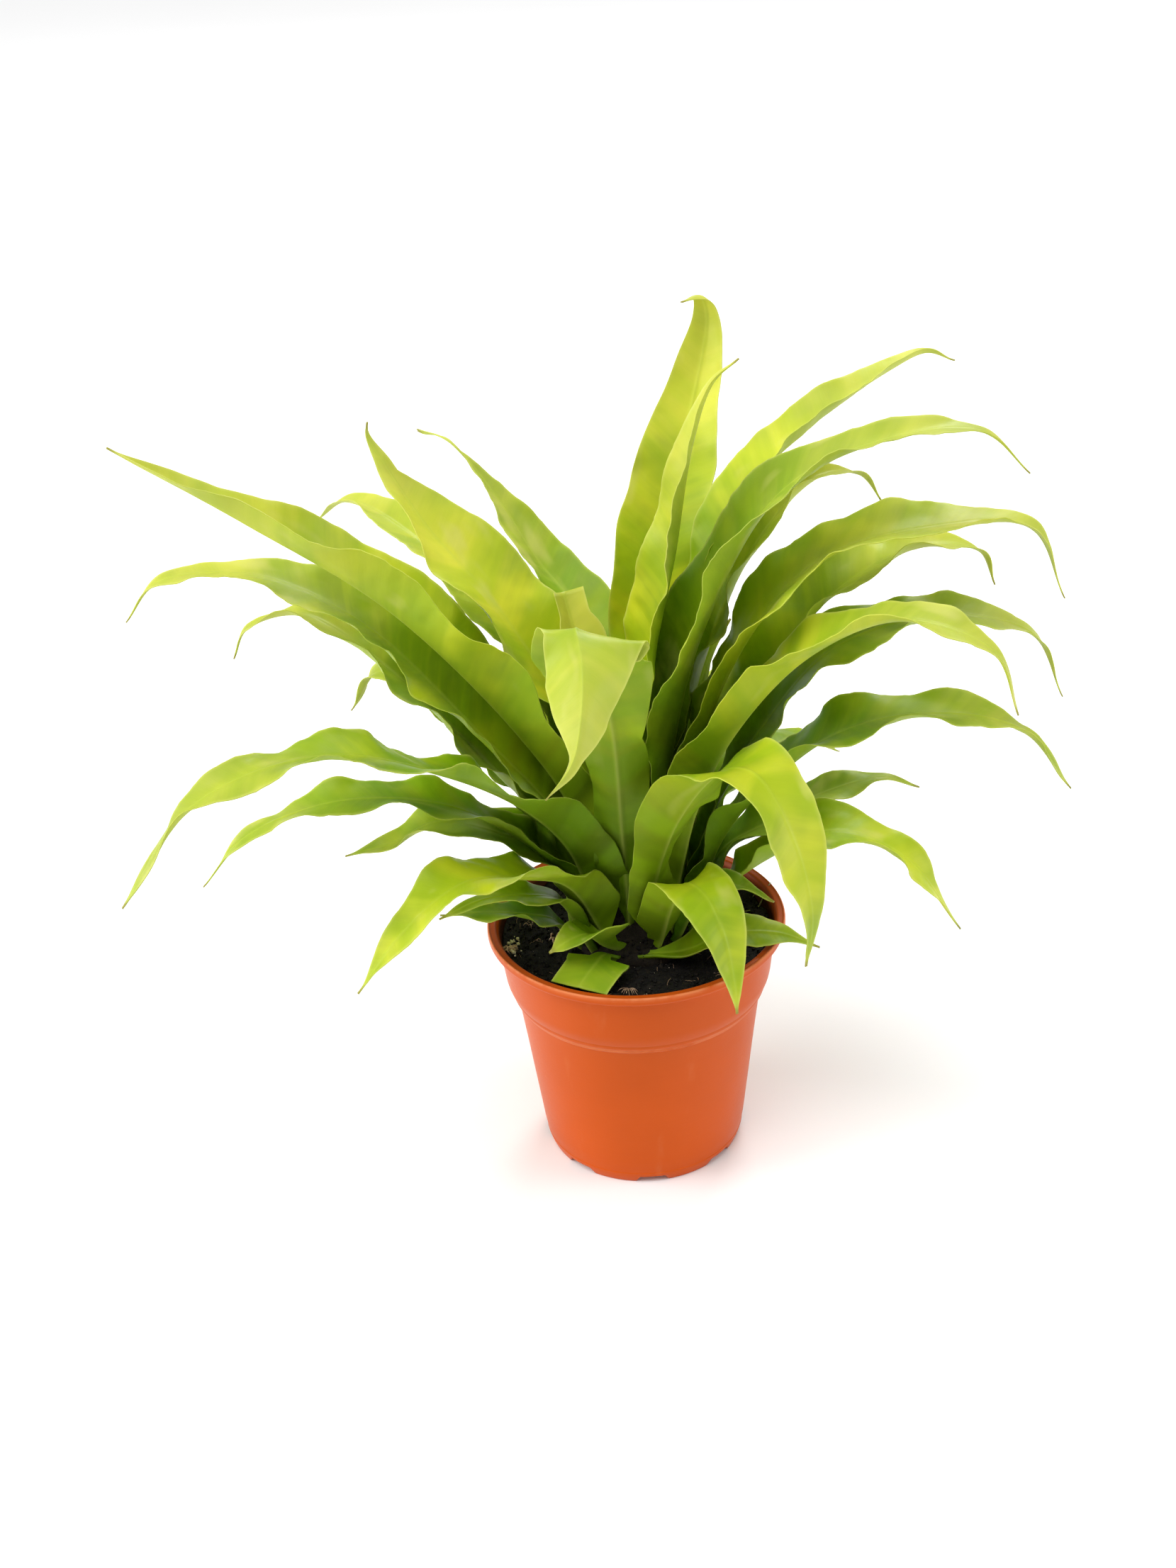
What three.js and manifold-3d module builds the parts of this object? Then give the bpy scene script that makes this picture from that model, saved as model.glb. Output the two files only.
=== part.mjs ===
// Potted japanese birds nest fern: a terracotta-coloured plastic pot filled with dark peat, a low
// rhizome crown seated in the peat, and wavy strap fronds that stand in holes in the crown.
// Millimetres, +Z up. The origin is the centre of the pot's underside and -Y is the front.
// A bearing is an angle about +Z in degrees: 0 is right, 90 is back, 180 is left, -90 is front.

import * as THREE from "three";
import { mergeVertices } from "three/addons/utils/BufferGeometryUtils.js";
import Module from "manifold-3d";

const wasm = await Module();
wasm.setup();

// Driving sizes of the pot
const ROUND_STEPS = 40;
const POT_HEIGHT = 155;
const RIM_RADIUS = 90;
const RIM_WIDTH = 5;
const LIP_HEIGHT = 5.5;
const NECK_RADIUS = 84.5;
const STEP_HEIGHT = 109;
const STEP_TOP_RADIUS = 79.5;
const STEP_LOW_RADIUS = 74.8;
const WAIST_HEIGHT = 80;
const WAIST_RADIUS = 71;
const FOOT_RADIUS = 61;
const WALL = 1.8;
const BRIM_DEPTH = 3;
const BRIM_FLARE = 0.8;
const FLOOR = 2;
const UNDERSIDE_DISC_RADIUS = 34;
const UNDERSIDE_LIFT = 5;
const FOOT_NOTCHES = 8;
const FOOT_NOTCH_WIDTH = 15;
const FOOT_NOTCH_REACH = 14;
const FOOT_NOTCH_HEIGHT = 4.8;
const FOOT_NOTCH_SLANT = 3;
const FOOT_NOTCH_TURN = 3;
const DRAIN_RADIUS = 4.5;
const DRAIN_LENGTH = 12;
const DRAIN_ROUND_STEPS = 10;
const DRAIN_RING_RADIUS = 47;

// Driving sizes of the peat and the crown
const GAP = 0.3;
const PEAT_TOP = 143;
const PEAT_SWELL = 1.6;
const PEAT_RINGS = [70, 57, 47];
const CROWN_RADIUS = 38;
const CROWN_FLOOR = 136;
const CROWN_EDGE = 147;
const CROWN_TOP = 160;
const CROWN_ROUND_STEPS = 24;

// Driving sizes that all fronds share
const BLADE = 1.0;
const RIB = 2.0;
const STALK_WIDTH = 5;
const STALK_THICKNESS = 2.6;
const STALK_EDGE = 1.6;
const STALK_DEPTH = 7;
const BARE_STALK = 4;
const THINNING_RUN = 36;
const SOCKET_GAP = 0.35;
const SOCKET_REACH = 1.6;
const FIRST_STATION = 10;
const STATION_SPACING = 13;
const FEWEST_STATIONS = 9;
const MOST_STATIONS = 25;
const TIP_WIDTH = 1.4;
const TIP_TAPER = 1.3;
const FLARE = 0.9;
const WAVE_RUN = 56;
const WAVE_OFFSET = 0.37;

// Colours, roughness and finish
const COLOURS = {
  pot: 0xd9652f,
  peat: 0x17130f,
  crown: 0x4a3a22,
  bright: 0xc3cf2e,
  lime: 0x9fbe24,
  green: 0x82a81c,
  deep: 0x5f8a16,
};

// A frond's root is [distance from the axis, bearing] on the crown. Its path gives [out, up] from
// the axis and the ground, up to the tip, on its bearing, and a third number turns that point
// further. Width is the widest the flat blade gets, at belly along its length, rise is how late it
// widens, foot is the width that it soon reaches above the stalk, flare is how fast it may widen
// there, and tip is the width of a blunt end.
// Cup and roll are given for the base, the middle and the tip: cup folds both halves up from the
// midrib, and roll turns the blade about the midrib, raising the edge on the side of the greater
// bearing. Waves are [how many, how high, where the first starts in turns].
const FRONDS = [
  // Left side, from the top down
  {
    name: "left_1", bearing: 184, root: [17, 198],
    width: 64, foot: 30, belly: 0.52, rise: 1.2,
    path: [[34, 232, 6], [62, 282], [128, 364], [200, 420], [266, 466]],
    cup: [45, 50, 35], roll: [28, 10, 0], waves: [5, 5, 0.1], colour: "lime",
  },
  {
    name: "left_2", bearing: 175, root: [23, 180],
    width: 56, foot: 26, belly: 0.45, rise: 1.2,
    path: [[38, 214], [86, 278], [150, 350], [205, 377], [262, 374], [284, 350]],
    cup: [40, 18, 10], roll: [0, -8, 0], waves: [5, 4, 0.3], colour: "lime",
  },
  {
    name: "left_3", bearing: 166, root: [29, 166],
    width: 48, foot: 25, belly: 0.45, rise: 1.6,
    path: [[46, 206], [84, 250], [140, 308], [190, 341], [228, 330], [239, 310]],
    cup: [40, 24, 15], roll: [-4, 0, 0], waves: [6, 5, 0.2], colour: "lime",
  },
  {
    name: "left_4", bearing: 150, root: [34, 150],
    width: 40, foot: 24, belly: 0.4, rise: 1.4, flare: 0.4,
    path: [[52, 198, -4], [88, 238], [138, 274], [174, 284], [199, 253]],
    cup: [40, 28, 15], roll: [0, 0, 0], waves: [5, 6, 0.6], colour: "green",
  },
  {
    name: "left_5", bearing: 205, root: [24, 212],
    width: 58, foot: 33, belly: 0.35, rise: 1.2,
    path: [[42, 214, 5], [66, 246, 1], [112, 280], [182, 310], [252, 299], [297, 250]],
    cup: [30, 12, 8], roll: [30, -2, 0], waves: [5, 6, 0.0], colour: "green",
  },
  {
    name: "left_6", bearing: 190, root: [30, 190],
    width: 44, foot: 22, belly: 0.42, rise: 1.2,
    path: [[47, 194], [66, 218], [110, 247], [170, 257], [222, 242], [250, 213]],
    cup: [30, 12, 8], roll: [20, 0, 0], waves: [5, 4, 0.5], colour: "green",
  },
  {
    name: "left_7", bearing: 181, root: [37, 172],
    width: 44, foot: 20, belly: 0.5, rise: 1.2,
    path: [[50, 178], [84, 204], [115, 220], [140, 211], [170, 206]],
    cup: [25, 14, 20], roll: [0, 0, 0], waves: [4, 4, 0.2], colour: "green",
  },
  {
    name: "left_8", bearing: 216, root: [27, 233],
    width: 54, foot: 30, belly: 0.4, rise: 1.2,
    path: [[47, 194], [75, 210], [118, 223], [158, 208], [190, 181]],
    cup: [25, 18, 10], roll: [36, 6, 0], waves: [4, 4, 0.4], colour: "lime",
  },
  {
    name: "left_9", bearing: 205, root: [35, 222],
    width: 30, foot: 12, belly: 0.4, rise: 1.2,
    path: [[48, 173], [70, 181], [96, 190], [126, 190]],
    cup: [20, 10, 5], roll: [31, 0, 0], waves: [3, 3, 0.1], colour: "green",
  },
  {
    name: "left_10", bearing: 192, root: [37, 206],
    width: 24, foot: 14, belly: 0.4, rise: 1.4, flare: 0.7,
    path: [[46, 162], [66, 172], [88, 176], [110, 172]],
    cup: [15, 10, 5], roll: [21, 0, 0], waves: [3, 3, 0.6], colour: "deep",
  },

  // Back left
  {
    name: "back_left_1", bearing: 150, root: [15, 152],
    width: 74, foot: 14, belly: 0.58, rise: 1.7,
    path: [[25, 242], [46, 290], [85, 344], [128, 386], [158, 427], [168, 446]],
    cup: [30, 23, 20], roll: [8, 0, 0], waves: [5, 4, 0.2], colour: "bright",
  },
  {
    name: "back_left_2", bearing: 110, root: [19, 104],
    width: 48, foot: 24, belly: 0.5, rise: 1.8,
    path: [[32, 239, 4], [56, 290, 1], [86, 324], [112, 346, 6], [132, 380, 12], [160, 415, 18],
      [190, 417, 19]],
    cup: [30, 25, 15], roll: [0, 0, 0], waves: [4, 3, 0.6], colour: "green",
  },
  {
    name: "back_left_3", bearing: 134, root: [19, 137],
    width: 40, foot: 12, belly: 0.66, rise: 1.2,
    path: [[36, 226, 2], [60, 276], [102, 314], [172, 352], [245, 364], [284, 342]],
    cup: [30, 25, 20], roll: [0, 0, 0], waves: [5, 4, 0.1], colour: "lime",
  },

  // Upright centre
  {
    name: "centre_1", bearing: -101, root: [13, -106],
    width: 66, foot: 34, belly: 0.66, rise: 3.8,
    path: [[29, 230], [42, 300], [66, 352], [92, 368], [124, 352], [152, 330], [168, 316]],
    cup: [10, 11, 20], roll: [4, 0, 10], waves: [5, 4, 0.3], colour: "bright",
  },
  {
    name: "centre_2", bearing: 62, root: [13, 72],
    width: 54, foot: 12, belly: 0.55, rise: 2.4,
    path: [[27, 244, 9], [46, 315, 10], [61, 356, 8], [80, 403, 4], [103, 446, 1], [119, 486],
      [113, 500], [86, 504]],
    cup: [50, 18, 20], roll: [16, 26, 0], waves: [6, 3, 0.2], colour: "lime",
  },
  {
    name: "centre_3", bearing: 8, root: [6, -29],
    width: 56, foot: 26, belly: 0.5, rise: 2,
    path: [[10, 250], [14, 310], [30, 384], [42, 447], [54, 478], [68, 489]],
    cup: [38, 32, 40], roll: [-4, 0, 0], waves: [5, 2.5, 0.1], colour: "bright",
  },
  {
    name: "centre_4", bearing: 125, root: [10, 116],
    width: 24, foot: 10, belly: 0.6, rise: 1.2, flare: 0.7, tip: 14,
    path: [[17, 224, -7], [25, 280, 4], [31, 325], [34, 356]],
    cup: [45, 42, 35], roll: [-4, 0, 0], waves: [3, 2, 0.1], colour: "bright",
  },

  // Right side, from the top down
  {
    name: "right_1", bearing: 31, root: [18, 30],
    width: 46, foot: 16, belly: 0.63, rise: 4, flare: 0.7,
    path: [[27, 274, -1], [43, 336], [88, 407], [133, 435], [183, 454], [212, 460], [234, 451]],
    cup: [40, 22, 30], roll: [4, -16, -5], waves: [5, 3, 0.3], colour: "lime",
  },
  {
    name: "right_2", bearing: -8, root: [16, -23],
    width: 70, foot: 32, belly: 0.4, rise: 1.2,
    path: [[25, 266, -7], [46, 347, -4], [88, 422], [143, 451], [192, 455], [217, 432]],
    cup: [42, 28, 10], roll: [8, 10, 0], waves: [5, 3.5, 0.1], colour: "green",
  },
  {
    name: "right_3", bearing: 34, root: [25, 31],
    width: 34, foot: 14, belly: 0.5, rise: 1.4, flare: 0.6,
    path: [[36, 247], [60, 318], [97, 371], [139, 398], [174, 392], [191, 371]],
    cup: [50, 35, 20], roll: [-8, -12, 0], waves: [6, 4, 0.2], colour: "lime",
  },
  {
    name: "right_4", bearing: -2, root: [22, -1],
    width: 64, foot: 14, belly: 0.55, rise: 1.4,
    path: [[36, 253, -4], [71, 339, -3], [112, 381], [166, 396], [222, 394], [243, 352]],
    cup: [35, 18, 12], roll: [-36, 0, 0], waves: [5, 3.5, 0.6], colour: "lime",
  },
  {
    name: "right_5", bearing: 13, root: [27, 17],
    width: 50, foot: 10, belly: 0.55, rise: 3.1, flare: 0.7,
    path: [[44, 244], [82, 304], [126, 348], [175, 368], [212, 360], [222, 338]],
    cup: [45, 27, 15], roll: [0, 0, 0], waves: [6, 5, 0.1], colour: "lime",
  },
  {
    name: "right_6", bearing: 2, root: [30, 4],
    width: 48, foot: 24, belly: 0.55, rise: 1.2, flare: 0.6,
    path: [[46, 218], [78, 277], [120, 324], [176, 339], [230, 325], [250, 284]],
    cup: [30, 13, 10], roll: [-4, 5, 0], waves: [5, 3.5, 0.4], colour: "green",
  },
  {
    name: "right_7", bearing: -24, root: [25, -38],
    width: 56, foot: 28, belly: 0.42, rise: 1.2,
    path: [[45, 240, -11], [69, 293, -5], [110, 342], [160, 368], [208, 356], [222, 322]],
    cup: [40, 30, 10], roll: [-30, 0, 0], waves: [5, 4, 0.2], colour: "lime",
  },
  {
    name: "right_8", bearing: -10, root: [33, -12],
    width: 56, foot: 34, belly: 0.42, rise: 1.2,
    path: [[52, 209, 1], [80, 248], [120, 282], [170, 296], [220, 288], [249, 252]],
    cup: [35, 15, 10], roll: [-16, 0, 0], waves: [5, 5, 0.5], colour: "green",
  },
  {
    name: "right_9", bearing: 3, root: [35, 9],
    width: 38, foot: 15, belly: 0.5, rise: 1.2,
    path: [[53, 193, 4], [80, 212], [112, 229], [148, 237], [170, 229]],
    cup: [20, 15, 10], roll: [4, 0, 0], waves: [4, 3.5, 0.3], colour: "green",
  },
  {
    name: "right_10", bearing: -16, root: [36, -34],
    width: 46, foot: 28, belly: 0.45, rise: 4, flare: 0.5,
    path: [[51, 175, 2], [82, 205], [120, 226], [160, 213], [193, 169]],
    cup: [40, 16, 10], roll: [-25, 0, 0], waves: [4, 3.5, 0.1], colour: "lime",
  },
  {
    name: "right_11", bearing: -27, root: [31, -44],
    width: 22, foot: 8, belly: 0.5, rise: 1.2,
    path: [[41, 173, -10], [58, 193, -8], [78, 198, -9], [98, 196, -10]],
    cup: [30, 25, 10], roll: [-20, 0, 0], waves: [3, 4, 0.3], colour: "deep",
  },
  {
    name: "right_12", bearing: -15, root: [35, -78],
    width: 32, foot: 6, belly: 0.4, rise: 1.2,
    path: [[46, 152, -40], [60, 161, -17], [88, 163, -4], [112, 150]],
    cup: [25, 10, 5], roll: [-8, 0, 0], waves: [2, 2, 0.1], colour: "green",
  },
  {
    name: "right_13", bearing: 41, root: [30, 35],
    width: 26, foot: 12, belly: 0.5, rise: 1.2,
    path: [[39, 228], [54, 276], [70, 308], [84, 322]],
    cup: [40, 30, 20], roll: [0, 0, 0], waves: [3, 3, 0.3], colour: "deep",
  },

  // Front
  {
    name: "front_1", bearing: -53, root: [24, -69],
    width: 54, foot: 30, belly: 0.45, rise: 1.2,
    path: [[42, 199, -22], [58, 249, -10], [82, 284], [112, 293], [140, 266], [154, 228], [150, 192]],
    cup: [15, 15, 10], roll: [-4, 0, 0], waves: [4, 4, 0.2], colour: "lime",
  },
  {
    name: "front_2", bearing: -64, root: [30, -66],
    width: 34, foot: 16, belly: 0.5, rise: 1.3,
    path: [[45, 183], [66, 211], [92, 214], [110, 196], [120, 165], [122, 150]],
    cup: [25, 15, 10], roll: [-4, 0, 0], waves: [2, 3, 0.2], colour: "lime",
  },
  {
    name: "front_3", bearing: -125, root: [30, -110],
    width: 34, foot: 8, belly: 0.4, rise: 1,
    path: [[39, 159, 6], [50, 170, 3], [66, 170], [76, 168]],
    cup: [50, 39, 20], roll: [4, 0, 0], waves: [2, 2, 0.2], colour: "green",
  },
  {
    name: "front_4", bearing: -117, root: [36, -111],
    width: 39, foot: 23, belly: 0.45, rise: 1, tip: 36,
    path: [[42, 152], [58, 152], [76, 149.5]],
    cup: [10, 0, 0], roll: [0, 0, 0], waves: [1, 1.5, 0.2], colour: "lime",
  },

  // Low arching back fronds
  {
    name: "back_1", bearing: 46, root: [34, 55],
    width: 50, foot: 30, belly: 0.42, rise: 1.4, flare: 0.5,
    path: [[52, 186], [94, 212], [150, 216], [200, 186]],
    cup: [35, 18, 10], roll: [0, 0, 0], waves: [5, 4, 0.1], colour: "green",
  },
  {
    name: "back_2", bearing: 58, root: [27, 67],
    width: 36, foot: 12, belly: 0.42, rise: 1.6,
    path: [[44, 212], [84, 252], [138, 262], [190, 232]],
    cup: [35, 16, 10], roll: [8, 0, 0], waves: [5, 4, 0.4], colour: "lime",
  },
  {
    name: "back_3", bearing: 76, root: [34, 79],
    width: 54, foot: 8, belly: 0.42, rise: 1.2,
    path: [[51, 186], [92, 212], [146, 216], [196, 186]],
    cup: [40, 18, 10], roll: [0, 0, 0], waves: [5, 4, 0.7], colour: "green",
  },
  {
    name: "back_4", bearing: 90, root: [28, 90],
    width: 36, foot: 18, belly: 0.42, rise: 1.2,
    path: [[48, 209], [84, 250], [136, 260], [186, 228]],
    cup: [25, 18, 10], roll: [4, 0, 0], waves: [5, 4, 0.2], colour: "lime",
  },
  {
    name: "back_5", bearing: 108, root: [37, 109],
    width: 52, foot: 31, belly: 0.42, rise: 1.4, flare: 0.4,
    path: [[50, 188], [92, 212], [144, 216], [194, 184]],
    cup: [35, 18, 10], roll: [0, 0, 0], waves: [5, 4, 0.5], colour: "green",
  },
  {
    name: "back_6", bearing: 124, root: [27, 125],
    width: 38, foot: 19, belly: 0.42, rise: 1.2,
    path: [[44, 208, 4], [86, 239, 1], [140, 246], [190, 214]],
    cup: [40, 18, 10], roll: [4, 0, 0], waves: [5, 4, 0.9], colour: "lime",
  },
];

function radians(degrees) {
  return degrees * Math.PI / 180;
}

function solidFrom(geometry) {
  const bare = geometry.index ? geometry.toNonIndexed() : geometry.clone();
  bare.deleteAttribute("normal");
  bare.deleteAttribute("uv");
  const merged = mergeVertices(bare, 1e-4);
  const vertProperties = new Float32Array(merged.attributes.position.array);
  const triVerts = new Uint32Array(merged.index.array);
  return new wasm.Manifold(new wasm.Mesh({ numProp: 3, vertProperties, triVerts }));
}

function geometryFrom(solid) {
  const cut = solid.getMesh();
  const geometry = new THREE.BufferGeometry();
  geometry.setAttribute("position", new THREE.BufferAttribute(new Float32Array(cut.vertProperties), 3));
  geometry.setIndex(new THREE.BufferAttribute(new Uint32Array(cut.triVerts), 1));
  return geometry;
}

// A turned solid about +Z from a profile of [radius, height] points that starts and ends on the axis
function turned(profile, steps) {
  const points = profile.map(([radius, height]) => new THREE.Vector2(radius, height));
  const geometry = new THREE.LatheGeometry(points, steps);
  geometry.rotateX(Math.PI / 2);
  return geometry;
}

function mix(three, t) {
  const [first, middle, last] = three;
  return t < 0.5 ? first + (middle - first) * t * 2 : middle + (last - middle) * (t - 0.5) * 2;
}

// Height of the crown's dome at a distance from the axis
function crownHeight(radius) {
  const fall = (radius / CROWN_RADIUS) ** 2;
  return CROWN_TOP - (CROWN_TOP - CROWN_EDGE) * fall;
}

function onBearing(bearing, out, up) {
  const angle = radians(bearing);
  return new THREE.Vector3(out * Math.cos(angle), out * Math.sin(angle), up);
}

// The midrib's line, from its foot inside the crown, through the crown's surface, to the tip
function spineOf(frond) {
  const [rootRadius, rootBearing] = frond.root;
  const surface = onBearing(rootBearing, rootRadius, crownHeight(rootRadius));
  const line = frond.path.map(([out, up, turn = 0]) => onBearing(frond.bearing + turn, out, up));
  const lean = line[0].clone().sub(surface).normalize();
  const foot = surface.clone().addScaledVector(lean, -STALK_DEPTH);
  return new THREE.CatmullRomCurve3([foot, surface, ...line], false, "centripetal");
}

function widthAt(frond, t, distance) {
  const stalkEnd = STALK_DEPTH + BARE_STALK;
  if (distance < stalkEnd) {
    return STALK_WIDTH;
  }
  if (t < frond.belly) {
    const rise = Math.sin(Math.PI / 2 * t / frond.belly) ** frond.rise;
    const room = STALK_WIDTH + (frond.flare ?? FLARE) * (distance - stalkEnd);
    return Math.min(room, Math.max(frond.foot, frond.width * rise));
  }
  const past = (t - frond.belly) / (1 - frond.belly);
  return Math.max(frond.tip ?? TIP_WIDTH, frond.width * (1 - past ** 2) ** TIP_TAPER);
}

// One station: the midrib's place, the across and facing directions, and both margins
function stationAt(frond, spine, length, t, extra) {
  const distance = t * length;
  const middle = spine.getPointAt(t);
  const along = spine.getTangentAt(t);
  const bearing = radians(frond.bearing);
  const level = new THREE.Vector3(-Math.sin(bearing), Math.cos(bearing), 0);
  level.addScaledVector(along, -level.dot(along)).normalize();
  const facing = along.clone().cross(level);
  const roll = radians(mix(frond.roll, t));
  const across = level.clone().multiplyScalar(Math.cos(roll)).addScaledVector(facing, Math.sin(roll));
  const normal = along.clone().cross(across);
  const half = widthAt(frond, t, distance) / 2 + extra;
  const cup = radians(mix(frond.cup, t));
  const stalkEnd = STALK_DEPTH + BARE_STALK;
  const free = THREE.MathUtils.smoothstep(distance, stalkEnd, stalkEnd + WAVE_RUN);
  const [count, height, start] = frond.waves;
  const swing = height * free * (1 - t ** 4);
  const margins = [-1, 1].map((side) => {
    const phase = 2 * Math.PI * (count * t + start + (side > 0 ? 0 : WAVE_OFFSET));
    const outward = across.clone().multiplyScalar(side * Math.cos(cup));
    outward.addScaledVector(normal, Math.sin(cup));
    const face = normal.clone().multiplyScalar(Math.cos(cup));
    face.addScaledVector(across, -side * Math.sin(cup));
    const top = middle.clone().addScaledVector(outward, half);
    top.addScaledVector(face, swing * Math.sin(phase));
    return { top, face };
  });
  const stalk = 1 - THREE.MathUtils.smoothstep(distance, stalkEnd, stalkEnd + THINNING_RUN);
  const thin = Math.max(BLADE / Math.cos(cup), RIB * (1 - t));
  const rib = thin + (STALK_THICKNESS - thin) * stalk;
  const edge = BLADE + (STALK_EDGE - BLADE) * stalk;
  return { middle, normal, margins, rib: rib + 2 * extra, edge: edge + 2 * extra, extra };
}

// A closed loft with six points a station: left, midrib and right on top, then the same below
function loft(stations) {
  const corners = [];
  for (const { middle, normal, margins, rib, edge, extra } of stations) {
    const [left, right] = margins;
    const top = [
      left.top.clone().addScaledVector(left.face, extra),
      middle.clone().addScaledVector(normal, extra),
      right.top.clone().addScaledVector(right.face, extra),
    ];
    corners.push(...top);
    corners.push(top[0].clone().addScaledVector(left.face, -edge));
    corners.push(top[1].clone().addScaledVector(normal, -rib));
    corners.push(top[2].clone().addScaledVector(right.face, -edge));
  }
  const faces = [];
  for (let i = 0; i < stations.length - 1; i += 1) {
    const a = 6 * i;
    const b = a + 6;
    faces.push([a, b, a + 1], [a + 1, b, b + 1]);
    faces.push([a + 1, b + 2, a + 2], [a + 1, b + 1, b + 2]);
    faces.push([a + 3, a + 4, b + 3], [a + 4, b + 4, b + 3]);
    faces.push([a + 4, a + 5, b + 5], [a + 4, b + 5, b + 4]);
    faces.push([a, b + 3, b], [a, a + 3, b + 3]);
    faces.push([a + 2, b + 5, a + 5], [a + 2, b + 2, b + 5]);
  }
  const end = 6 * (stations.length - 1);
  faces.push([0, 4, 3], [0, 1, 4], [1, 5, 4], [1, 2, 5]);
  faces.push([end, end + 3, end + 4], [end, end + 4, end + 1]);
  faces.push([end + 1, end + 4, end + 5], [end + 1, end + 5, end + 2]);
  const geometry = new THREE.BufferGeometry();
  const flat = corners.flatMap((corner) => corner.toArray());
  geometry.setAttribute("position", new THREE.Float32BufferAttribute(flat, 3));
  geometry.setIndex(faces.flat());
  return geometry;
}

function frondGeometry(frond) {
  const spine = spineOf(frond);
  const length = spine.getLength();
  const fitting = Math.round(length / STATION_SPACING);
  const spaces = THREE.MathUtils.clamp(fitting, FEWEST_STATIONS, MOST_STATIONS);
  const stalkShare = FIRST_STATION / length;
  const stations = [stationAt(frond, spine, length, 0, 0)];
  for (let i = 0; i <= spaces; i += 1) {
    const t = i === spaces ? 1 : stalkShare + (1 - stalkShare) * i / spaces;
    stations.push(stationAt(frond, spine, length, t, 0));
  }
  return loft(stations);
}

// The plain hole that a frond's stalk stands in: its own shape, a little larger all round
function socketSolid(frond) {
  const spine = spineOf(frond);
  const length = spine.getLength();
  const share = FIRST_STATION / length;
  const deepest = stationAt(frond, spine, length, 0, SOCKET_GAP);
  const along = spine.getTangentAt(0);
  deepest.middle.addScaledVector(along, -SOCKET_GAP);
  deepest.margins.forEach((margin) => margin.top.addScaledVector(along, -SOCKET_GAP));
  const next = stationAt(frond, spine, length, share, SOCKET_GAP);
  const beyond = stationAt(frond, spine, length, share * SOCKET_REACH, SOCKET_GAP);
  return solidFrom(loft([deepest, next, beyond]));
}

// The foot's notch seen from in front: flat on top, with slanted sides that widen to the ground
function notchOutline() {
  const top = FOOT_NOTCH_WIDTH / 2;
  const ground = top + FOOT_NOTCH_SLANT;
  return new THREE.Shape([
    new THREE.Vector2(-ground, -1),
    new THREE.Vector2(ground, -1),
    new THREE.Vector2(ground, 0),
    new THREE.Vector2(top, FOOT_NOTCH_HEIGHT),
    new THREE.Vector2(-top, FOOT_NOTCH_HEIGHT),
    new THREE.Vector2(-ground, 0),
  ]);
}

function potGeometry() {
  const inner = (radius) => radius - WALL;
  const channelTop = UNDERSIDE_LIFT + FLOOR;
  const lipBottom = POT_HEIGHT - LIP_HEIGHT;
  const profile = [
    [0, 0],
    [UNDERSIDE_DISC_RADIUS, 0],
    [UNDERSIDE_DISC_RADIUS + 3, UNDERSIDE_LIFT],
    [FOOT_RADIUS - 7, UNDERSIDE_LIFT],
    [FOOT_RADIUS - 5, 0],
    [FOOT_RADIUS - 0.5, 0],
    [FOOT_RADIUS + 0.8, 2],
    [FOOT_RADIUS + 1.5, 10],
    [WAIST_RADIUS, WAIST_HEIGHT],
    [STEP_LOW_RADIUS, STEP_HEIGHT - 3],
    [STEP_LOW_RADIUS + 2.6, STEP_HEIGHT],
    [STEP_TOP_RADIUS, STEP_HEIGHT + 2],
    [NECK_RADIUS, lipBottom],
    [RIM_RADIUS - 1, lipBottom + 0.2],
    [RIM_RADIUS, lipBottom + 1.5],
    [RIM_RADIUS, POT_HEIGHT - 0.7],
    [RIM_RADIUS - 0.7, POT_HEIGHT],
    [RIM_RADIUS - RIM_WIDTH, POT_HEIGHT - 0.5],
    [inner(NECK_RADIUS) + BRIM_FLARE, POT_HEIGHT - BRIM_DEPTH],
    [inner(STEP_TOP_RADIUS), STEP_HEIGHT + 2],
    [inner(STEP_LOW_RADIUS), STEP_HEIGHT - 4],
    [inner(FOOT_RADIUS + 1.5), 10],
    [inner(FOOT_RADIUS) - 1, channelTop],
    [UNDERSIDE_DISC_RADIUS + 4, channelTop],
    [UNDERSIDE_DISC_RADIUS + 1, FLOOR],
    [0, FLOOR],
  ];
  let pot = solidFrom(turned(profile, ROUND_STEPS));
  for (let i = 0; i < FOOT_NOTCHES; i += 1) {
    const turn = radians(FOOT_NOTCH_TURN + i * 360 / FOOT_NOTCHES);
    const reach = { depth: FOOT_NOTCH_REACH, bevelEnabled: false };
    const notch = new THREE.ExtrudeGeometry(notchOutline(), reach);
    notch.rotateX(Math.PI / 2);
    notch.translate(0, FOOT_NOTCH_REACH / 2 + 1 - FOOT_RADIUS, 0);
    notch.rotateZ(turn);
    const drain = new THREE.CylinderGeometry(DRAIN_RADIUS, DRAIN_RADIUS, DRAIN_LENGTH, DRAIN_ROUND_STEPS);
    drain.rotateX(Math.PI / 2);
    drain.translate(0, -DRAIN_RING_RADIUS, UNDERSIDE_LIFT);
    drain.rotateZ(turn);
    pot = pot.subtract(solidFrom(notch)).subtract(solidFrom(drain));
  }
  return geometryFrom(pot);
}

// Slow rise and fall of the peat, flat where the crown sits and where it meets the wall
function peatLift(x, y, radius) {
  const free = THREE.MathUtils.smoothstep(radius, CROWN_RADIUS, CROWN_RADIUS + 12);
  const bumps = Math.sin(x * 0.11 + 0.6) * Math.cos(y * 0.13) + 0.5 * Math.sin(x * 0.05 - y * 0.21);
  return free * PEAT_SWELL * bumps;
}

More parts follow.
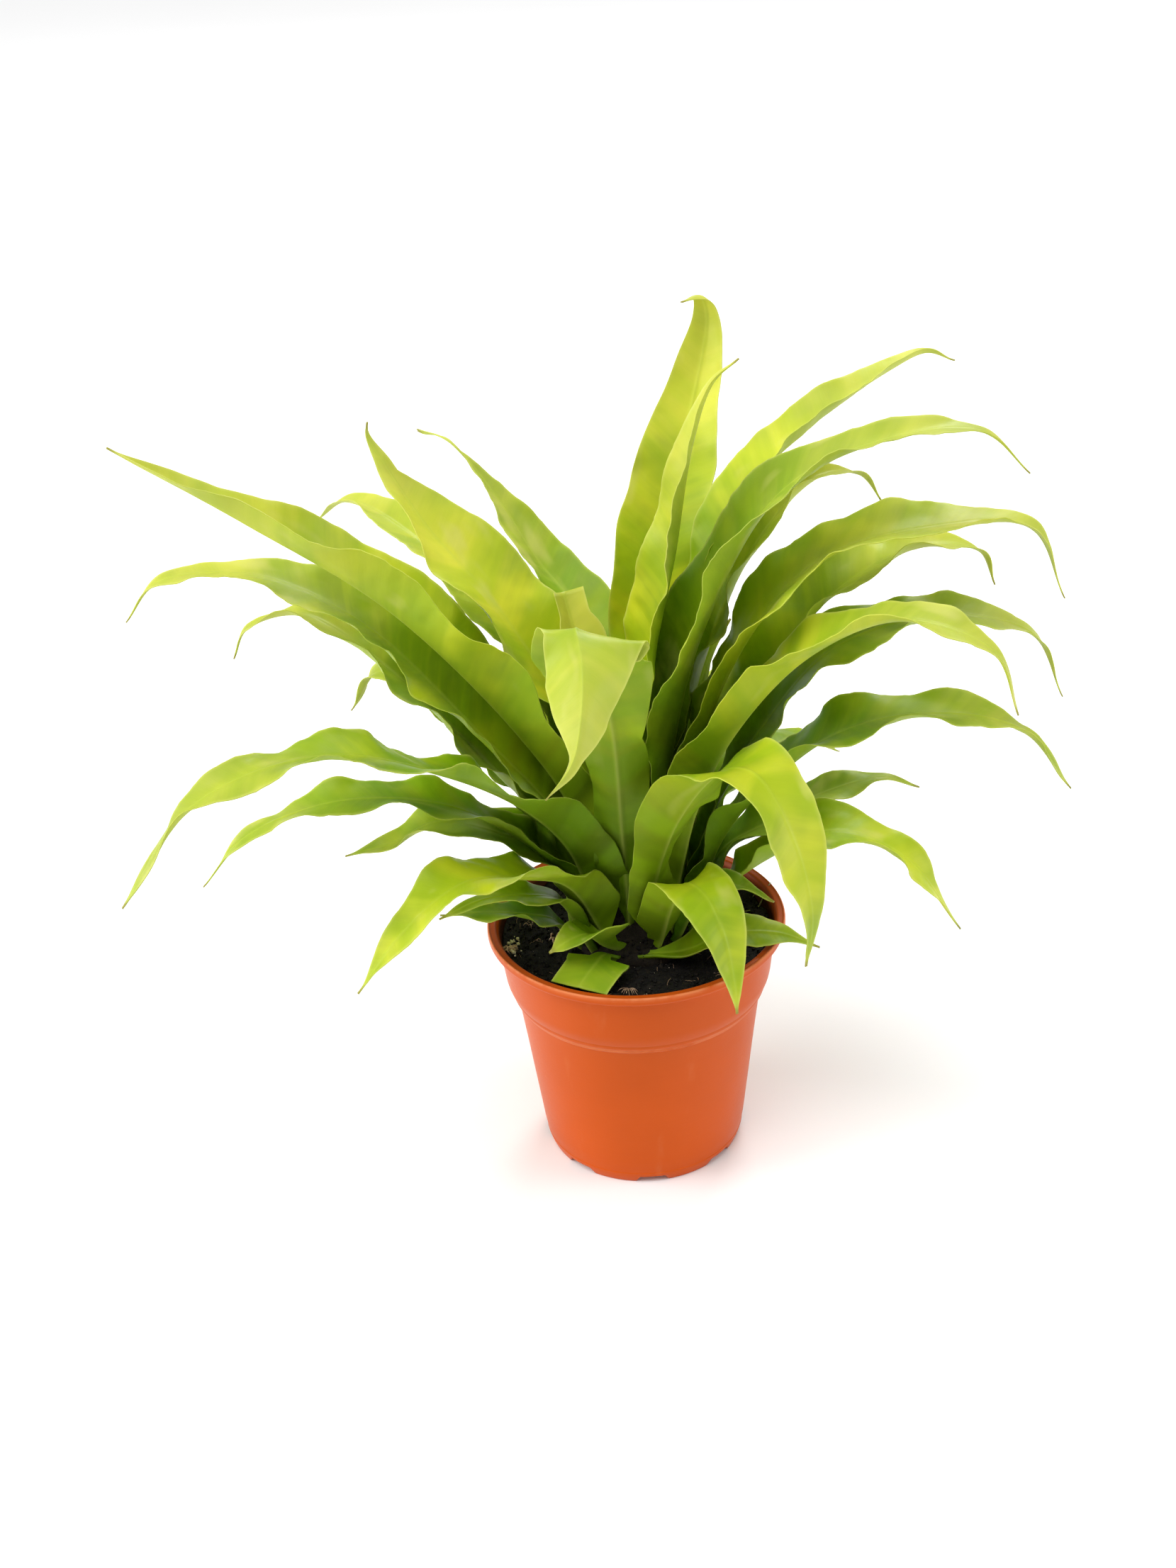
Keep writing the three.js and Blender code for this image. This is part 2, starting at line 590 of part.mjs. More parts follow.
function peatGeometry() {
  const inside = (radius) => radius - WALL - GAP;
  const channelTop = UNDERSIDE_LIFT + FLOOR + GAP;
  const pit = CROWN_RADIUS + GAP;
  const upperWall = POT_HEIGHT - BRIM_DEPTH - STEP_HEIGHT - 2;
  const share = (PEAT_TOP - STEP_HEIGHT - 2) / upperWall;
  const wallAtStep = inside(STEP_TOP_RADIUS);
  const wallAtBrim = inside(NECK_RADIUS) + BRIM_FLARE;
  const wallTop = THREE.MathUtils.lerp(wallAtStep, wallAtBrim, share) - 0.1;
  const profile = [
    [0, FLOOR + GAP],
    [UNDERSIDE_DISC_RADIUS + 0.6, FLOOR + GAP],
    [UNDERSIDE_DISC_RADIUS + 3.8, channelTop],
    [inside(FOOT_RADIUS) - 1.2, channelTop],
    [inside(FOOT_RADIUS + 1.5), 10],
    [inside(STEP_LOW_RADIUS) - 0.1, STEP_HEIGHT - 4],
    [inside(STEP_TOP_RADIUS) - 0.1, STEP_HEIGHT + 2],
    [wallTop, PEAT_TOP],
    ...PEAT_RINGS.map((radius) => [radius, PEAT_TOP]),
    [pit, PEAT_TOP],
    [pit, CROWN_FLOOR - GAP],
    [0, CROWN_FLOOR - GAP],
  ];
  const geometry = turned(profile, ROUND_STEPS);
  const position = geometry.attributes.position;
  for (let i = 0; i < position.count; i += 1) {
    if (position.getZ(i) > PEAT_TOP - 0.01) {
      const x = position.getX(i);
      const y = position.getY(i);
      position.setZ(i, PEAT_TOP + peatLift(x, y, Math.hypot(x, y)));
    }
  }
  return geometryFrom(solidFrom(geometry));
}

function crownGeometry() {
  const rings = [0.25, 0.5, 0.75, 1].map((share) => share * CROWN_RADIUS);
  const dome = rings.reverse().map((radius) => [radius, crownHeight(radius)]);
  const profile = [[0, CROWN_FLOOR], [CROWN_RADIUS, CROWN_FLOOR], ...dome, [0, CROWN_TOP]];
  let crown = solidFrom(turned(profile, CROWN_ROUND_STEPS));
  for (const frond of FRONDS) {
    crown = crown.subtract(socketSolid(frond));
  }
  return geometryFrom(crown);
}

function piece(name, geometry, colour, roughness) {
  geometry.computeVertexNormals();
  const material = new THREE.MeshStandardMaterial({ color: COLOURS[colour], roughness, metalness: 0 });
  const mesh = new THREE.Mesh(geometry, material);
  mesh.name = name;
  return mesh;
}

const fern = new THREE.Group();
fern.add(piece("pot", potGeometry(), "pot", 0.45));
fern.add(piece("soil", peatGeometry(), "peat", 0.95));
fern.add(piece("crown", crownGeometry(), "crown", 0.9));
for (const frond of FRONDS) {
  fern.add(piece(`frond_${frond.name}`, frondGeometry(frond), frond.colour, 0.35));
}

export default fern;
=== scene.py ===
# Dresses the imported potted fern: finer blades, pot, peat and crown, their finishes and the studio.
# Metres, +Z up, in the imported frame. Sizes written in millimetres are multiplied by MM.
# A bearing is an angle about +Z in degrees: 0 is right, 90 is back, 180 is left, -90 is front.

import math

import bmesh
import bpy
import numpy as np
from bpy.props import FloatProperty, FloatVectorProperty, IntProperty, PointerProperty
from mathutils import Matrix, Vector, noise


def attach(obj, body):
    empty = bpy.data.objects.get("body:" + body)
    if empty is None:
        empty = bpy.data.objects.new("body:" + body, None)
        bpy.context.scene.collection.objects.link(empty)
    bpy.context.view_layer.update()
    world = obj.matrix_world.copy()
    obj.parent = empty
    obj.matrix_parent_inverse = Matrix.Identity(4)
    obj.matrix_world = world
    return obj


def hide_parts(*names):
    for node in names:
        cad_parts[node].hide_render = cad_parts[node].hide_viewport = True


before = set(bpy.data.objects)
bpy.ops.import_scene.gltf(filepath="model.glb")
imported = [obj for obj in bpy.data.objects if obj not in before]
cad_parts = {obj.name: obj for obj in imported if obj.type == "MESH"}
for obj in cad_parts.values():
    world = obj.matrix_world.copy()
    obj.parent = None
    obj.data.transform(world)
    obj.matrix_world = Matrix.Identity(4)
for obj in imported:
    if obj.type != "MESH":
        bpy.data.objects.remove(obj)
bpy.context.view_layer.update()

bl_info = {
    "name": "Potted birds nest fern",
    "version": (1, 0, 0),
    "blender": (4, 5, 0),
    "location": "View3D > Sidebar > Fern",
    "description": "Dresses a packed potted fern with blades, peat, a pot and a studio",
    "category": "Object",
}

MM = 0.001

# Sizes shared with the solids, in millimetres
POT_HEIGHT = 155
RIM_RADIUS = 90
RIM_WIDTH = 5
LIP_HEIGHT = 5.5
LIP_BOTTOM = POT_HEIGHT - LIP_HEIGHT
NECK_RADIUS = 84.5
STEP_HEIGHT = 109
STEP_TOP_RADIUS = 79.5
STEP_LOW_RADIUS = 74.8
WAIST_HEIGHT = 80
WAIST_RADIUS = 71
FOOT_RADIUS = 61
WALL = 1.8
FLOOR = 2
UNDERSIDE_DISC_RADIUS = 34
UNDERSIDE_LIFT = 5
FOOT_NOTCHES = 8
FOOT_NOTCH_WIDTH = 15
FOOT_NOTCH_REACH = 14
FOOT_NOTCH_HEIGHT = 4.8
FOOT_NOTCH_SLANT = 3
FOOT_NOTCH_TURN = 3
DRAIN_RADIUS = 4.5
DRAIN_RING_RADIUS = 47
PEAT_TOP = 143
PEAT_SWELL = 1.6
CROWN_RADIUS = 38
CROWN_FLOOR = 136
CROWN_EDGE = 147
CROWN_TOP = 160
STALK_WIDTH = 5
STALK_THICKNESS = 2.6
STALK_DEPTH = 7
BARE_STALK = 4
STALK_END = STALK_DEPTH + BARE_STALK
THINNING_RUN = 36
TIP_WIDTH = 1.4
TIP_TAPER = 1.3
FLARE = 0.9
WAVE_RUN = 56
WAVE_OFFSET = 0.37

# Fine relief of a blade, in millimetres: how high the slow bow and the irregular buckles are, the
# size of a buckle, and the distance over which each random line turns about once
BOW = 0.9
BUCKLE = 1.8
BUCKLE_SIZE = 26
MARGIN_RUN = 21
RUFFLE_RUN = 13
BOW_RUN = 34
PLEAT_RUN = 5.5
# Share of its width by which a blade swells and narrows at random
MARGIN_DRIFT = 0.07
# Half width in millimetres under which the fine relief shrinks with the blade
FULL_RELIEF = 9
# The raised line over the midrib: its height and its reach, the reach of the keel below it, and how
# far the midrib's colour and the margin's painted highlight reach, in millimetres
RIDGE = 0.4
RIDGE_REACH = 0.9
KEEL_REACH = 1.3
RIB_REACH = 1.1
EDGE_REACH = 0.9
# How far a vein runs towards the tip for each millimetre that it runs out from the midrib
VEIN_SLANT = 0.55
# Length of a blade that shows the whole of its painted shade at the base, which shrinks on a shorter
# one
BASE_RUN = 330
# Heights between which the painted light that pales a tip grows from a little to full, and how much of
# it low tips get
TIP_LIGHT_HEIGHTS = (170, 330)
LOW_TIP_LIGHT = 0.35
# Shares of the length between which a blade turns to its tip's colour, and the length of a dry tip
TIPWARD = (0.4, 0.95)
DRY_TIP = 7
# How far one blade's veins and its painted glare lie from the next one's in their random patterns
PATTERN_STEP = 700
GLARE_STEP = 0.37
# Distances of the points across half a blade, from the midrib to the margin
ACROSS = (0, 0.03, 0.07, 0.13, 0.21, 0.31, 0.42, 0.54, 0.66, 0.78, 0.88, 0.95, 0.985, 1)

FROND_NAMES = ("name", "colour", "bearing", "root", "width", "foot", "belly", "path", "cup", "waves")
PLAIN_FROND = {"rise": 1.2, "flare": FLARE, "tip": TIP_WIDTH, "roll": (0, 0, 0), "ears": ()}


def frond(*values, **others):
    """One row of FRONDS, by name, with the plain values for what the row leaves out."""
    return {**PLAIN_FROND, **dict(zip(FROND_NAMES, values)), **others}


# The fronds, each with its name, colour, bearing, root, width, foot, belly, path, cup and waves. The
# root is (distance from the axis, bearing) on the crown. The width is the widest that the blade gets,
# the foot is the width that it soon reaches above the stalk, and the belly is where it is widest, as a
# share of its length. The path gives (out, up) in millimetres up to the tip, on the frond's bearing,
# and a third number turns that point further. The cup has the degrees at the base, the middle and the
# tip, and so has the roll. Waves are (how many, how high, where the first starts in turns). Rise is
# how late the blade widens, flare is how fast it may widen at the foot, and tip is the width of a
# blunt end. Ears are corners of a margin, each with its place along the length, its height, its span
# and its side, 1 for that of the greater bearing. An ear of negative height is a dent.
FRONDS = (
    # Left side, from the top down
    frond("left_1", "lime", 184, (17, 198), 64, 30, 0.52,
        ((34, 232, 6), (62, 282), (128, 364), (200, 420), (266, 466)),
        (45, 50, 35), (5, 5, 0.1), roll=(28, 10, 0)),
    frond("left_2", "lime", 175, (23, 180), 56, 26, 0.45,
        ((38, 214), (86, 278), (150, 350), (205, 377), (262, 374), (284, 350)),
        (40, 18, 10), (5, 4, 0.3), roll=(0, -8, 0)),
    frond("left_3", "lime", 166, (29, 166), 48, 25, 0.45,
        ((46, 206), (84, 250), (140, 308), (190, 341), (228, 330), (239, 310)),
        (40, 24, 15), (6, 5, 0.2), rise=1.6, roll=(-4, 0, 0)),
    frond("left_4", "green", 150, (34, 150), 40, 24, 0.4,
        ((52, 198, -4), (88, 238), (138, 274), (174, 284), (199, 253)),
        (40, 28, 15), (5, 6, 0.6), rise=1.4, flare=0.4),
    frond("left_5", "green", 205, (24, 212), 58, 56, 0.35,
        ((42, 214, 5), (66, 246, 1), (112, 280), (182, 310), (252, 299), (297, 250)),
        (30, 12, 8), (5, 6, 0), flare=2.4, roll=(42, 4, 0)),
    frond("left_6", "green", 190, (30, 190), 44, 38, 0.42,
        ((47, 194), (66, 218), (110, 247), (170, 257), (222, 242), (250, 213)),
        (30, 12, 8), (5, 4, 0.5), flare=1.8, roll=(26, 0, 0)),
    frond("left_7", "green", 181, (37, 172), 44, 38, 0.5,
        ((46, 196), (84, 219), (115, 226), (140, 214), (170, 206)),
        (25, 14, 20), (4, 4, 0.2), flare=2, roll=(-15, -6, 0)),
    frond("left_8", "lime", 216, (27, 233), 54, 44, 0.4,
        ((47, 194), (75, 210), (118, 223), (158, 208), (190, 181)),
        (25, 18, 10), (4, 4, 0.4), flare=1.8, roll=(36, 6, 0)),
    frond("left_9", "green", 205, (35, 222), 30, 12, 0.4, ((48, 179), (70, 190), (96, 195), (124, 190)),
        (20, 10, 5), (3, 3, 0.1), roll=(31, 0, 0)),
    frond("left_10", "deep", 192, (37, 206), 28, 20, 0.4,
        ((52, 166, 9), (66, 171, 6), (92, 177, 4), (118, 178, 2)),
        (15, 10, 5), (3, 3, 0.6), rise=1.4, flare=1, roll=(21, 0, 0)),
    # Back left
    frond("back_left_1", "bright", 150, (15, 152), 74, 14, 0.58,
        ((25, 242), (46, 290), (85, 344), (127, 384), (155, 421), (164, 435), (163, 443)),
        (30, 23, 20), (5, 4, 0.2), rise=1.7, roll=(8, 0, 0), ears=((0.9, -7, 0.08, -1),)),
    frond("back_left_2", "green", 110, (19, 104), 48, 24, 0.5,
        ((32, 239, 4), (56, 290, 1), (86, 324), (112, 346, 6), (132, 380, 12), (160, 415, 18),
        (190, 417, 19)),
        (30, 25, 15), (4, 3, 0.6), rise=1.8, roll=(0, 10, 65), ears=((0.86, -7, 0.22, 1),
        (0.86, -7, 0.22, -1))),
    frond("back_left_3", "lime", 134, (19, 137), 40, 12, 0.66,
        ((36, 226, 2), (60, 276), (102, 314), (172, 352), (245, 364), (284, 342)),
        (30, 25, 20), (5, 4, 0.1)),
    # Upright centre
    frond("centre_1", "green", -101, (13, -106), 62, 34, 0.66,
        ((29, 230), (42, 300), (64, 352, -3), (90, 381, -4.5), (112, 373, 0), (138, 354, 1.6),
        (154, 336, 0.5), (166, 322, -3.5)),
        (10, 2, -54), (5, 6, 0.5), rise=3.8, roll=(4, -2, -4), ears=((0.72, 11, 0.06, 1),
        (0.71, -15, 0.08, -1), (0.93, -4, 0.06, 1), (0.93, -4, 0.06, -1))),
    frond("centre_2", "bright", 62, (13, 72), 54, 12, 0.55,
        ((27, 244, 9), (46, 315, 10), (61, 356, 8), (80, 403, 4), (103, 446, 1), (119, 486),
        (113, 500), (86, 504)),
        (50, 18, 20), (6, 3, 0.2), rise=2.4, roll=(16, 26, 0)),
    frond("centre_3", "bright", 8, (6, -29), 56, 26, 0.5,
        ((10, 250), (14, 310), (30, 384), (42, 447), (54, 478), (68, 489)),
        (38, 24, 30), (5, 2.5, 0.1), rise=2, roll=(-4, 8, 0)),
    frond("centre_4", "bright", 125, (10, 116), 36, 10, 0.85,
        ((17, 224, -7), (25, 280, 6), (37, 322, 10), (52, 350, 5)),
        (50, 38, 34), (3, 2, 0.1), flare=0.7, tip=24, roll=(-4, 0, 0)),
    # Right side, from the top down
    frond("right_1", "lime", 31, (18, 30), 46, 16, 0.63,
        ((27, 274, -1), (43, 336), (88, 407), (133, 435), (183, 454), (212, 460), (234, 451)),
        (40, 22, 30), (5, 3, 0.3), rise=4, flare=0.7, roll=(4, -16, -5)),
    frond("right_2", "green", -8, (16, -23), 70, 32, 0.4,
        ((25, 266, -7), (46, 347, -4), (88, 422), (143, 451), (192, 455), (217, 432)),
        (42, 28, 10), (5, 3.5, 0.1), roll=(8, 10, 0)),
    frond("right_3", "lime", 34, (25, 31), 34, 14, 0.5,
        ((36, 247), (60, 318), (97, 371), (139, 398), (174, 392), (191, 371)),
        (50, 35, 20), (6, 4, 0.2), rise=1.4, flare=0.6, roll=(-8, -12, 0)),
    frond("right_4", "lime", -2, (22, -1), 64, 14, 0.55,
        ((36, 253, -4), (71, 339, -3), (112, 381), (166, 396), (222, 394), (243, 352)),
        (35, 18, 12), (5, 3.5, 0.6), rise=1.4, roll=(-36, 0, 0)),
    frond("right_5", "lime", 13, (27, 17), 50, 10, 0.55,
        ((44, 244), (82, 304), (126, 348), (175, 368), (212, 360), (222, 338)),
        (45, 27, 15), (6, 5, 0.1), rise=3.1, flare=0.7),
    frond("right_6", "green", 2, (30, 4), 48, 24, 0.55,
        ((46, 218), (78, 277), (120, 324), (176, 339), (230, 325), (250, 284)),
        (30, 13, 10), (5, 3.5, 0.4), flare=0.6, roll=(-4, 5, 0)),
    frond("right_7", "lime", -24, (25, -38), 56, 28, 0.42,
        ((45, 240, -11), (69, 293, -5), (110, 342), (160, 368), (208, 356), (222, 322)),
        (40, 30, 10), (5, 4, 0.2), roll=(-30, 0, 0)),
    frond("right_8", "green", -10, (33, -12), 56, 34, 0.42,
        ((52, 209, 1), (80, 248), (120, 282), (170, 296), (220, 288), (249, 252)),
        (35, 15, 10), (5, 5, 0.5), roll=(-16, 0, 0)),
    frond("right_9", "green", 3, (35, 9), 38, 15, 0.5,
        ((53, 193, 4), (80, 212), (112, 229), (148, 237), (170, 229)),
        (20, 15, 10), (4, 3.5, 0.3), roll=(4, 0, 0)),
    frond("right_10", "lime", -16, (36, -34), 46, 28, 0.45,
        ((51, 175, 2), (82, 205), (120, 226), (160, 213), (193, 169)),
        (40, 16, 10), (4, 3.5, 0.1), rise=4, flare=0.5, roll=(-25, 0, 0)),
    frond("right_11", "deep", -27, (31, -44), 22, 8, 0.5,
        ((41, 173, -10), (58, 193, -8), (78, 198, -9), (98, 196, -10)),
        (30, 25, 10), (3, 4, 0.3), roll=(-20, 0, 0)),
    frond("right_12", "lime", -15, (35, -78), 32, 14, 0.4,
        ((46, 152, -38), (62, 160, -18), (90, 161, -9), (113, 150, -4)),
        (25, 10, 5), (2, 2, 0.1), roll=(2, 14, 4)),
    frond("right_13", "deep", 41, (30, 35), 26, 12, 0.5, ((39, 228), (54, 276), (70, 308), (84, 322)),
        (40, 30, 20), (3, 3, 0.3)),
    # Front
    frond("front_1", "lime", -53, (24, -69), 54, 30, 0.45,
        ((42, 199, -22), (58, 249, -10), (82, 284), (112, 293), (140, 266), (154, 228), (150, 192)),
        (15, 15, 10), (4, 4, 0.2), roll=(-4, 0, 0)),
    frond("front_2", "lime", -64, (30, -66), 38, 34, 0.5,
        ((45, 183), (66, 211), (92, 214), (110, 198), (120, 170), (122, 156)),
        (25, 15, 10), (2, 3, 0.2), rise=1.3, flare=1.6, roll=(-4, 0, 0)),
    frond("front_3", "green", -125, (30, -110), 42, 26, 0.35,
        ((39, 159, 6), (52, 170, 1), (64, 169, -5), (72, 163, -10)),
        (75, 22, 10), (2, 2, 0.2), rise=1, flare=1.4, roll=(10, 8, 0)),
    frond("front_4", "green", -117, (36, -111), 39, 23, 0.45, ((42, 152), (58, 152), (76, 149.5)),
        (10, 0, 0), (1, 1.5, 0.2), rise=1, tip=36),
    # Low arching back fronds
    frond("back_1", "green", 46, (34, 55), 50, 30, 0.42, ((52, 186), (94, 212), (150, 216), (200, 186)),
        (35, 18, 10), (5, 4, 0.1), rise=1.4, flare=0.5),
    frond("back_2", "lime", 58, (27, 67), 36, 12, 0.42, ((44, 212), (84, 252), (138, 262), (190, 232)),
        (35, 16, 10), (5, 4, 0.4), rise=1.6, roll=(8, 0, 0)),
    frond("back_3", "green", 76, (34, 79), 54, 8, 0.42, ((51, 186), (92, 212), (146, 216), (196, 186)),
        (40, 18, 10), (5, 4, 0.7)),
    frond("back_4", "lime", 90, (28, 90), 36, 18, 0.42, ((48, 209), (84, 250), (136, 260), (186, 228)),
        (25, 18, 10), (5, 4, 0.2), roll=(4, 0, 0)),
    frond("back_5", "green", 108, (37, 109), 52, 31, 0.42,
        ((50, 188), (92, 212), (144, 216), (194, 184)), (35, 18, 10), (5, 4, 0.5), rise=1.4, flare=0.4),
    frond("back_6", "lime", 124, (27, 125), 38, 19, 0.42,
        ((44, 208, 4), (86, 239, 1), (140, 246), (190, 214)),
        (40, 18, 10), (5, 4, 0.9), roll=(4, 0, 0)),
)

# Steps and rings of the turned peat and crown
PEAT_STEPS = 220
PEAT_RINGS = 64
CROWN_STEPS = 120
CROWN_RINGS = 36
# The gap between the peat and the wall, where the peat banks up against it, and how high
PEAT_GAP = 0.4
PEAT_BANK = (66, 79)
PEAT_BANK_HEIGHT = 1.6
# The patch of pale beads: its middle and its spreads. A bead that lies further out than the limit is
# drawn in to about the held distance. The first beads are the large ones.
BEAD_PATCH = (-74, -15)
BEAD_SPREADS = (2.6, 7)
BEAD_LIMIT = 79
BEAD_HELD = 76
LARGE_BEADS = 13
LARGE_BEAD = (0.9, 1.3)
SMALL_BEAD = (0.35, 0.7)
# Sizes of the crumbs and the pale grains, and between which distances from the axis they lie
CRUMB_SIZES = (0.5, 1.7)
GRAIN_SIZES = (0.18, 0.42)
SCATTER_REACH = (26, 80)
# The dry tufts: place, spread, fibres, reach and thickness
DRY_TUFTS = ((-77, -18, 2.0, 22, 8, 0.55), (-45, -7, 2.4, 26, 9, 0.6), (-60, 8, 4, 8, 6, 0.25))
# Where the fan of dry fibres at the front starts, how many it has and which way they point
FAN_PLACE = (-6, -62)
FAN_FIBRES = 9
FAN_BEARINGS = (-150, -30)
# The two short curled roots: place, bearing and run
CURLED_ROOTS = ((64, 22, 100, 11), (73, 33, 20, 10))

# Colours that a blade's finish holds beside its own green; the tip's is partly painted light, and the
# glare and the margin's highlight are painted light
TIP_TONE = (0.56, 0.54, 0.10)
GLARE_TONE = (0.62, 0.59, 0.17)
RIB_TONE = (0.46, 0.56, 0.06)
MARGIN_HIGHLIGHT_TONE = (0.62, 0.64, 0.16)
UNDERSIDE_TONE = (0.34, 0.42, 0.045)
UNDER_RIB_TONE = (0.50, 0.54, 0.12)
DRY_TONE = (0.22, 0.17, 0.03)
# Colours of the plastic's scuffs, painted ridge highlights, dark inside with painted rim shadow,
# painted shade under the lip, and of brown bits of peat
SCUFF_TONE = (0.84, 0.36, 0.16)
RIDGE_HIGHLIGHT_TONE = (0.86, 0.34, 0.15)
INSIDE_AND_SHADOW_TONE = (0.035, 0.012, 0.007)
UNDER_LIP_SHADE_TONE = (0.09, 0.02, 0.008)
BROWN_PEAT_TONE = (0.04, 0.026, 0.015)
CROWN_TONE = (0.012, 0.009, 0.006)
# The pale and the dark streaks of each fibrous finish
FIBRE_TONES = {
    "pale_grains": ((0.55, 0.46, 0.34), (0.22, 0.16, 0.1)),
    "pale_beads": ((1, 0.9, 0.72), (0.84, 0.68, 0.48)),
    "dry_fibre": ((0.48, 0.31, 0.2), (0.18, 0.1, 0.055)),
    # A lighter copy of the dry fibre's colours, painted light for tufts that lie in shade
    "lit_root_tufts": ((0.82, 0.56, 0.42), (0.42, 0.25, 0.17)),
    "young_roots": ((0.40, 0.36, 0.18), (0.18, 0.15, 0.07)),
}

# The stage in metres and degrees: how far the floor reaches, the side and back lamps with their name,
# place, size and share of the fill's power, what they aim at, the way and the spread of the wide
# light from above, and the camera's place and angles. The camera's sensor is in millimetres.
FLOOR_REACH = 20
LAMPS = (
    ("left_light", (-3.9, -0.3, 1.5), 2.7, 1),
    ("right_light", (4.2, -0.6, 1.8), 2.4, 0.6),
    ("back_light", (1.05, 3.6, 3.9), 2.1, 1.2),
)
LAMP_AIM = (0, 0, 0.22)
KEY_WAY = (0.24, 0.3, -1)
KEY_SPREAD = 50
CAMERA_PLACE = (0, -0.9834, 0.7626)
CAMERA_PITCH = -27.727
CAMERA_YAW = -1.418
CAMERA_ROLL = -3.221
SENSOR_WIDTH = 36


def as_length(name, description, millimetres):
    """A length that the user may change."""
    return FloatProperty(name=name, description=description, default=millimetres * MM, unit="LENGTH")


def as_colour(name, description, colour):
    """A colour that the user may change."""
    return FloatVectorProperty(name=name, description=description, default=colour, subtype="COLOR")


def as_count(name, description, number, least=0):
    """A whole number that the user may change."""
    return IntProperty(name=name, description=description, default=number, min=least)


def as_strength(name, description, strength):
    """A strength that the user may change."""
    return FloatProperty(name=name, description=description, default=strength, min=0)


class FernPotSettings(bpy.types.PropertyGroup):
    steps: as_count("Steps", "Faces around the pot", 144, 24)
    corner: as_length("Corner", "Radius of the moulded corners", 0.9)
    colour: as_colour("Colour", "Colour of the plastic", (0.575, 0.084, 0.004))
    roughness: FloatProperty(
        name="Roughness", description="Roughness of the plastic", default=0.36, subtype="FACTOR",
    )


class FernPeatSettings(bpy.types.PropertyGroup):
    crumbs: as_count("Crumbs", "Lumps of peat on the surface", 1500)
    specks: as_count("Specks", "Pale grains in the peat", 110)
    beads: as_count("Beads", "Round pale beads at the left of the peat", 46)
    fibres: as_count("Fibres", "Loose dry fibres on the peat", 60)
    colour: as_colour("Colour", "Colour of the damp peat", (0.0066, 0.0056, 0.0050))
    seed: as_count("Seed", "Seed of the random places", 7)


class FernFrondSettings(bpy.types.PropertyGroup):
    spacing: as_length("Spacing", "Length of one step along a blade", 2.6)
    blade: as_length("Blade", "Thickness of the blade beside the midrib", 0.8)
    margin: as_length("Margin", "Thickness of the blade's edge", 0.5)
    keel: as_length("Keel", "How far the midrib stands out below", 1.3)
    ruffle: as_length("Ruffle", "Height of the small ruffles at the margin", 2.6)
    pleat: as_length("Pleat", "Height of the soft pleats along the veins", 0.55)
    bright: as_colour("Bright", "Colour of a young blade", (0.54, 0.575, 0.012))
    lime: as_colour("Lime", "Colour of a light blade", (0.41, 0.485, 0.009))
    green: as_colour("Green", "Colour of a grown blade", (0.29, 0.40, 0.007))
    deep: as_colour("Deep", "Colour of a shaded blade", (0.155, 0.275, 0.005))


class FernStageSettings(bpy.types.PropertyGroup):
    floor: as_colour("Floor", "Colour of the floor", (0.9, 0.9, 0.9))
    glow: as_strength("Glow", "Light that the white floor gives off itself", 0.04)
    world: as_strength("World", "Strength of the even light", 0.3)
    key: as_strength("Key light", "Strength of the wide light from above", 2.4)
    fill: FloatProperty(
        name="Fill light", description="Power of the side and back lights", default=108, unit="POWER",
    )
    focal_length: FloatProperty(
        name="Focal length", description="Focal length on a 36 mm sensor", default=43.86, unit="CAMERA",
    )


def add_node(tree, kind, settings=None, inputs=None):
    """A node with its settings, and with its inputs set to values or linked to sockets."""
    node = tree.nodes.new(kind)
    for key, value in (settings or {}).items():
        setattr(node, key, value)
    for key, value in (inputs or {}).items():
        if isinstance(value, bpy.types.NodeSocket):
            tree.links.new(value, node.inputs[key])
        else:
            node.inputs[key].default_value = value
    return node


def scaled(tree, value, factor, plus=0.0):
    """A number or socket times a factor, plus another."""
    inputs = {0: value, 1: factor, 2: plus}
    return add_node(tree, "ShaderNodeMath", {"operation": "MULTIPLY_ADD"}, inputs).outputs[0]


def joined(tree, x, y, z=0.0):
    """Three numbers or sockets as one vector."""
    return add_node(tree, "ShaderNodeCombineXYZ", None, {"X": x, "Y": y, "Z": z}).outputs[0]


def ease(tree, value, low, high):
    """0 where the value is under low, 1 where it is over high, and a smooth step between."""
    settings = {"interpolation_type": "SMOOTHSTEP"}
    inputs = {"Value": value, "From Min": low, "From Max": high}
    return add_node(tree, "ShaderNodeMapRange", settings, inputs).outputs["Result"]


def blend(tree, factor, first, second, strength=1.0):
    """Two colours mixed by a factor, at most as far as the strength."""
    if strength != 1:
        factor = scaled(tree, factor, strength)
    settings = {"data_type": "RGBA", "blend_type": "MIX", "clamp_factor": True}
    colours = {0: factor, 6: opaque(first), 7: opaque(second)}
    return add_node(tree, "ShaderNodeMix", settings, colours).outputs[2]


def opaque(colour):
    """A colour with its alpha, or the socket that gives it."""
    if isinstance(colour, bpy.types.NodeSocket):
        return colour
    return (*colour[:3], 1.0)


def tint(colour, factor):
    """A colour made lighter or darker."""
    return tuple(min(1.0, part * factor) for part in colour[:3])


def warm(colour, factor):
    """A leaf colour in the light: brighter and a little yellower."""
    red, green, blue = colour[:3]
    return (red * factor * 1.08, green * factor, blue * factor)


def shade(colour, factor):
    """A leaf colour in deeper green, for painted shade and for the veins: its red falls faster than its
    green.
    """
    red, green, blue = colour[:3]
    return (red * factor * 0.76, green * factor * 1.06, blue * factor * 0.5)


def noise_of(tree, scale, detail=3.0, vector=None, stretch=(1, 1, 1)):
    """Noise over the object's own coordinates, or over another vector."""
    if vector is None:
        vector = add_node(tree, "ShaderNodeTexCoord").outputs["Object"]
    placed = add_node(tree, "ShaderNodeMapping", None, {"Vector": vector, "Scale": stretch})
    inputs = {"Vector": placed.outputs[0], "Scale": scale, "Detail": detail}
    return add_node(tree, "ShaderNodeTexNoise", None, inputs).outputs["Fac"]


def own(tree, name):
    """A number that the mesh holds at each of its points."""
    return add_node(tree, "ShaderNodeAttribute", {"attribute_name": name}).outputs["Fac"]


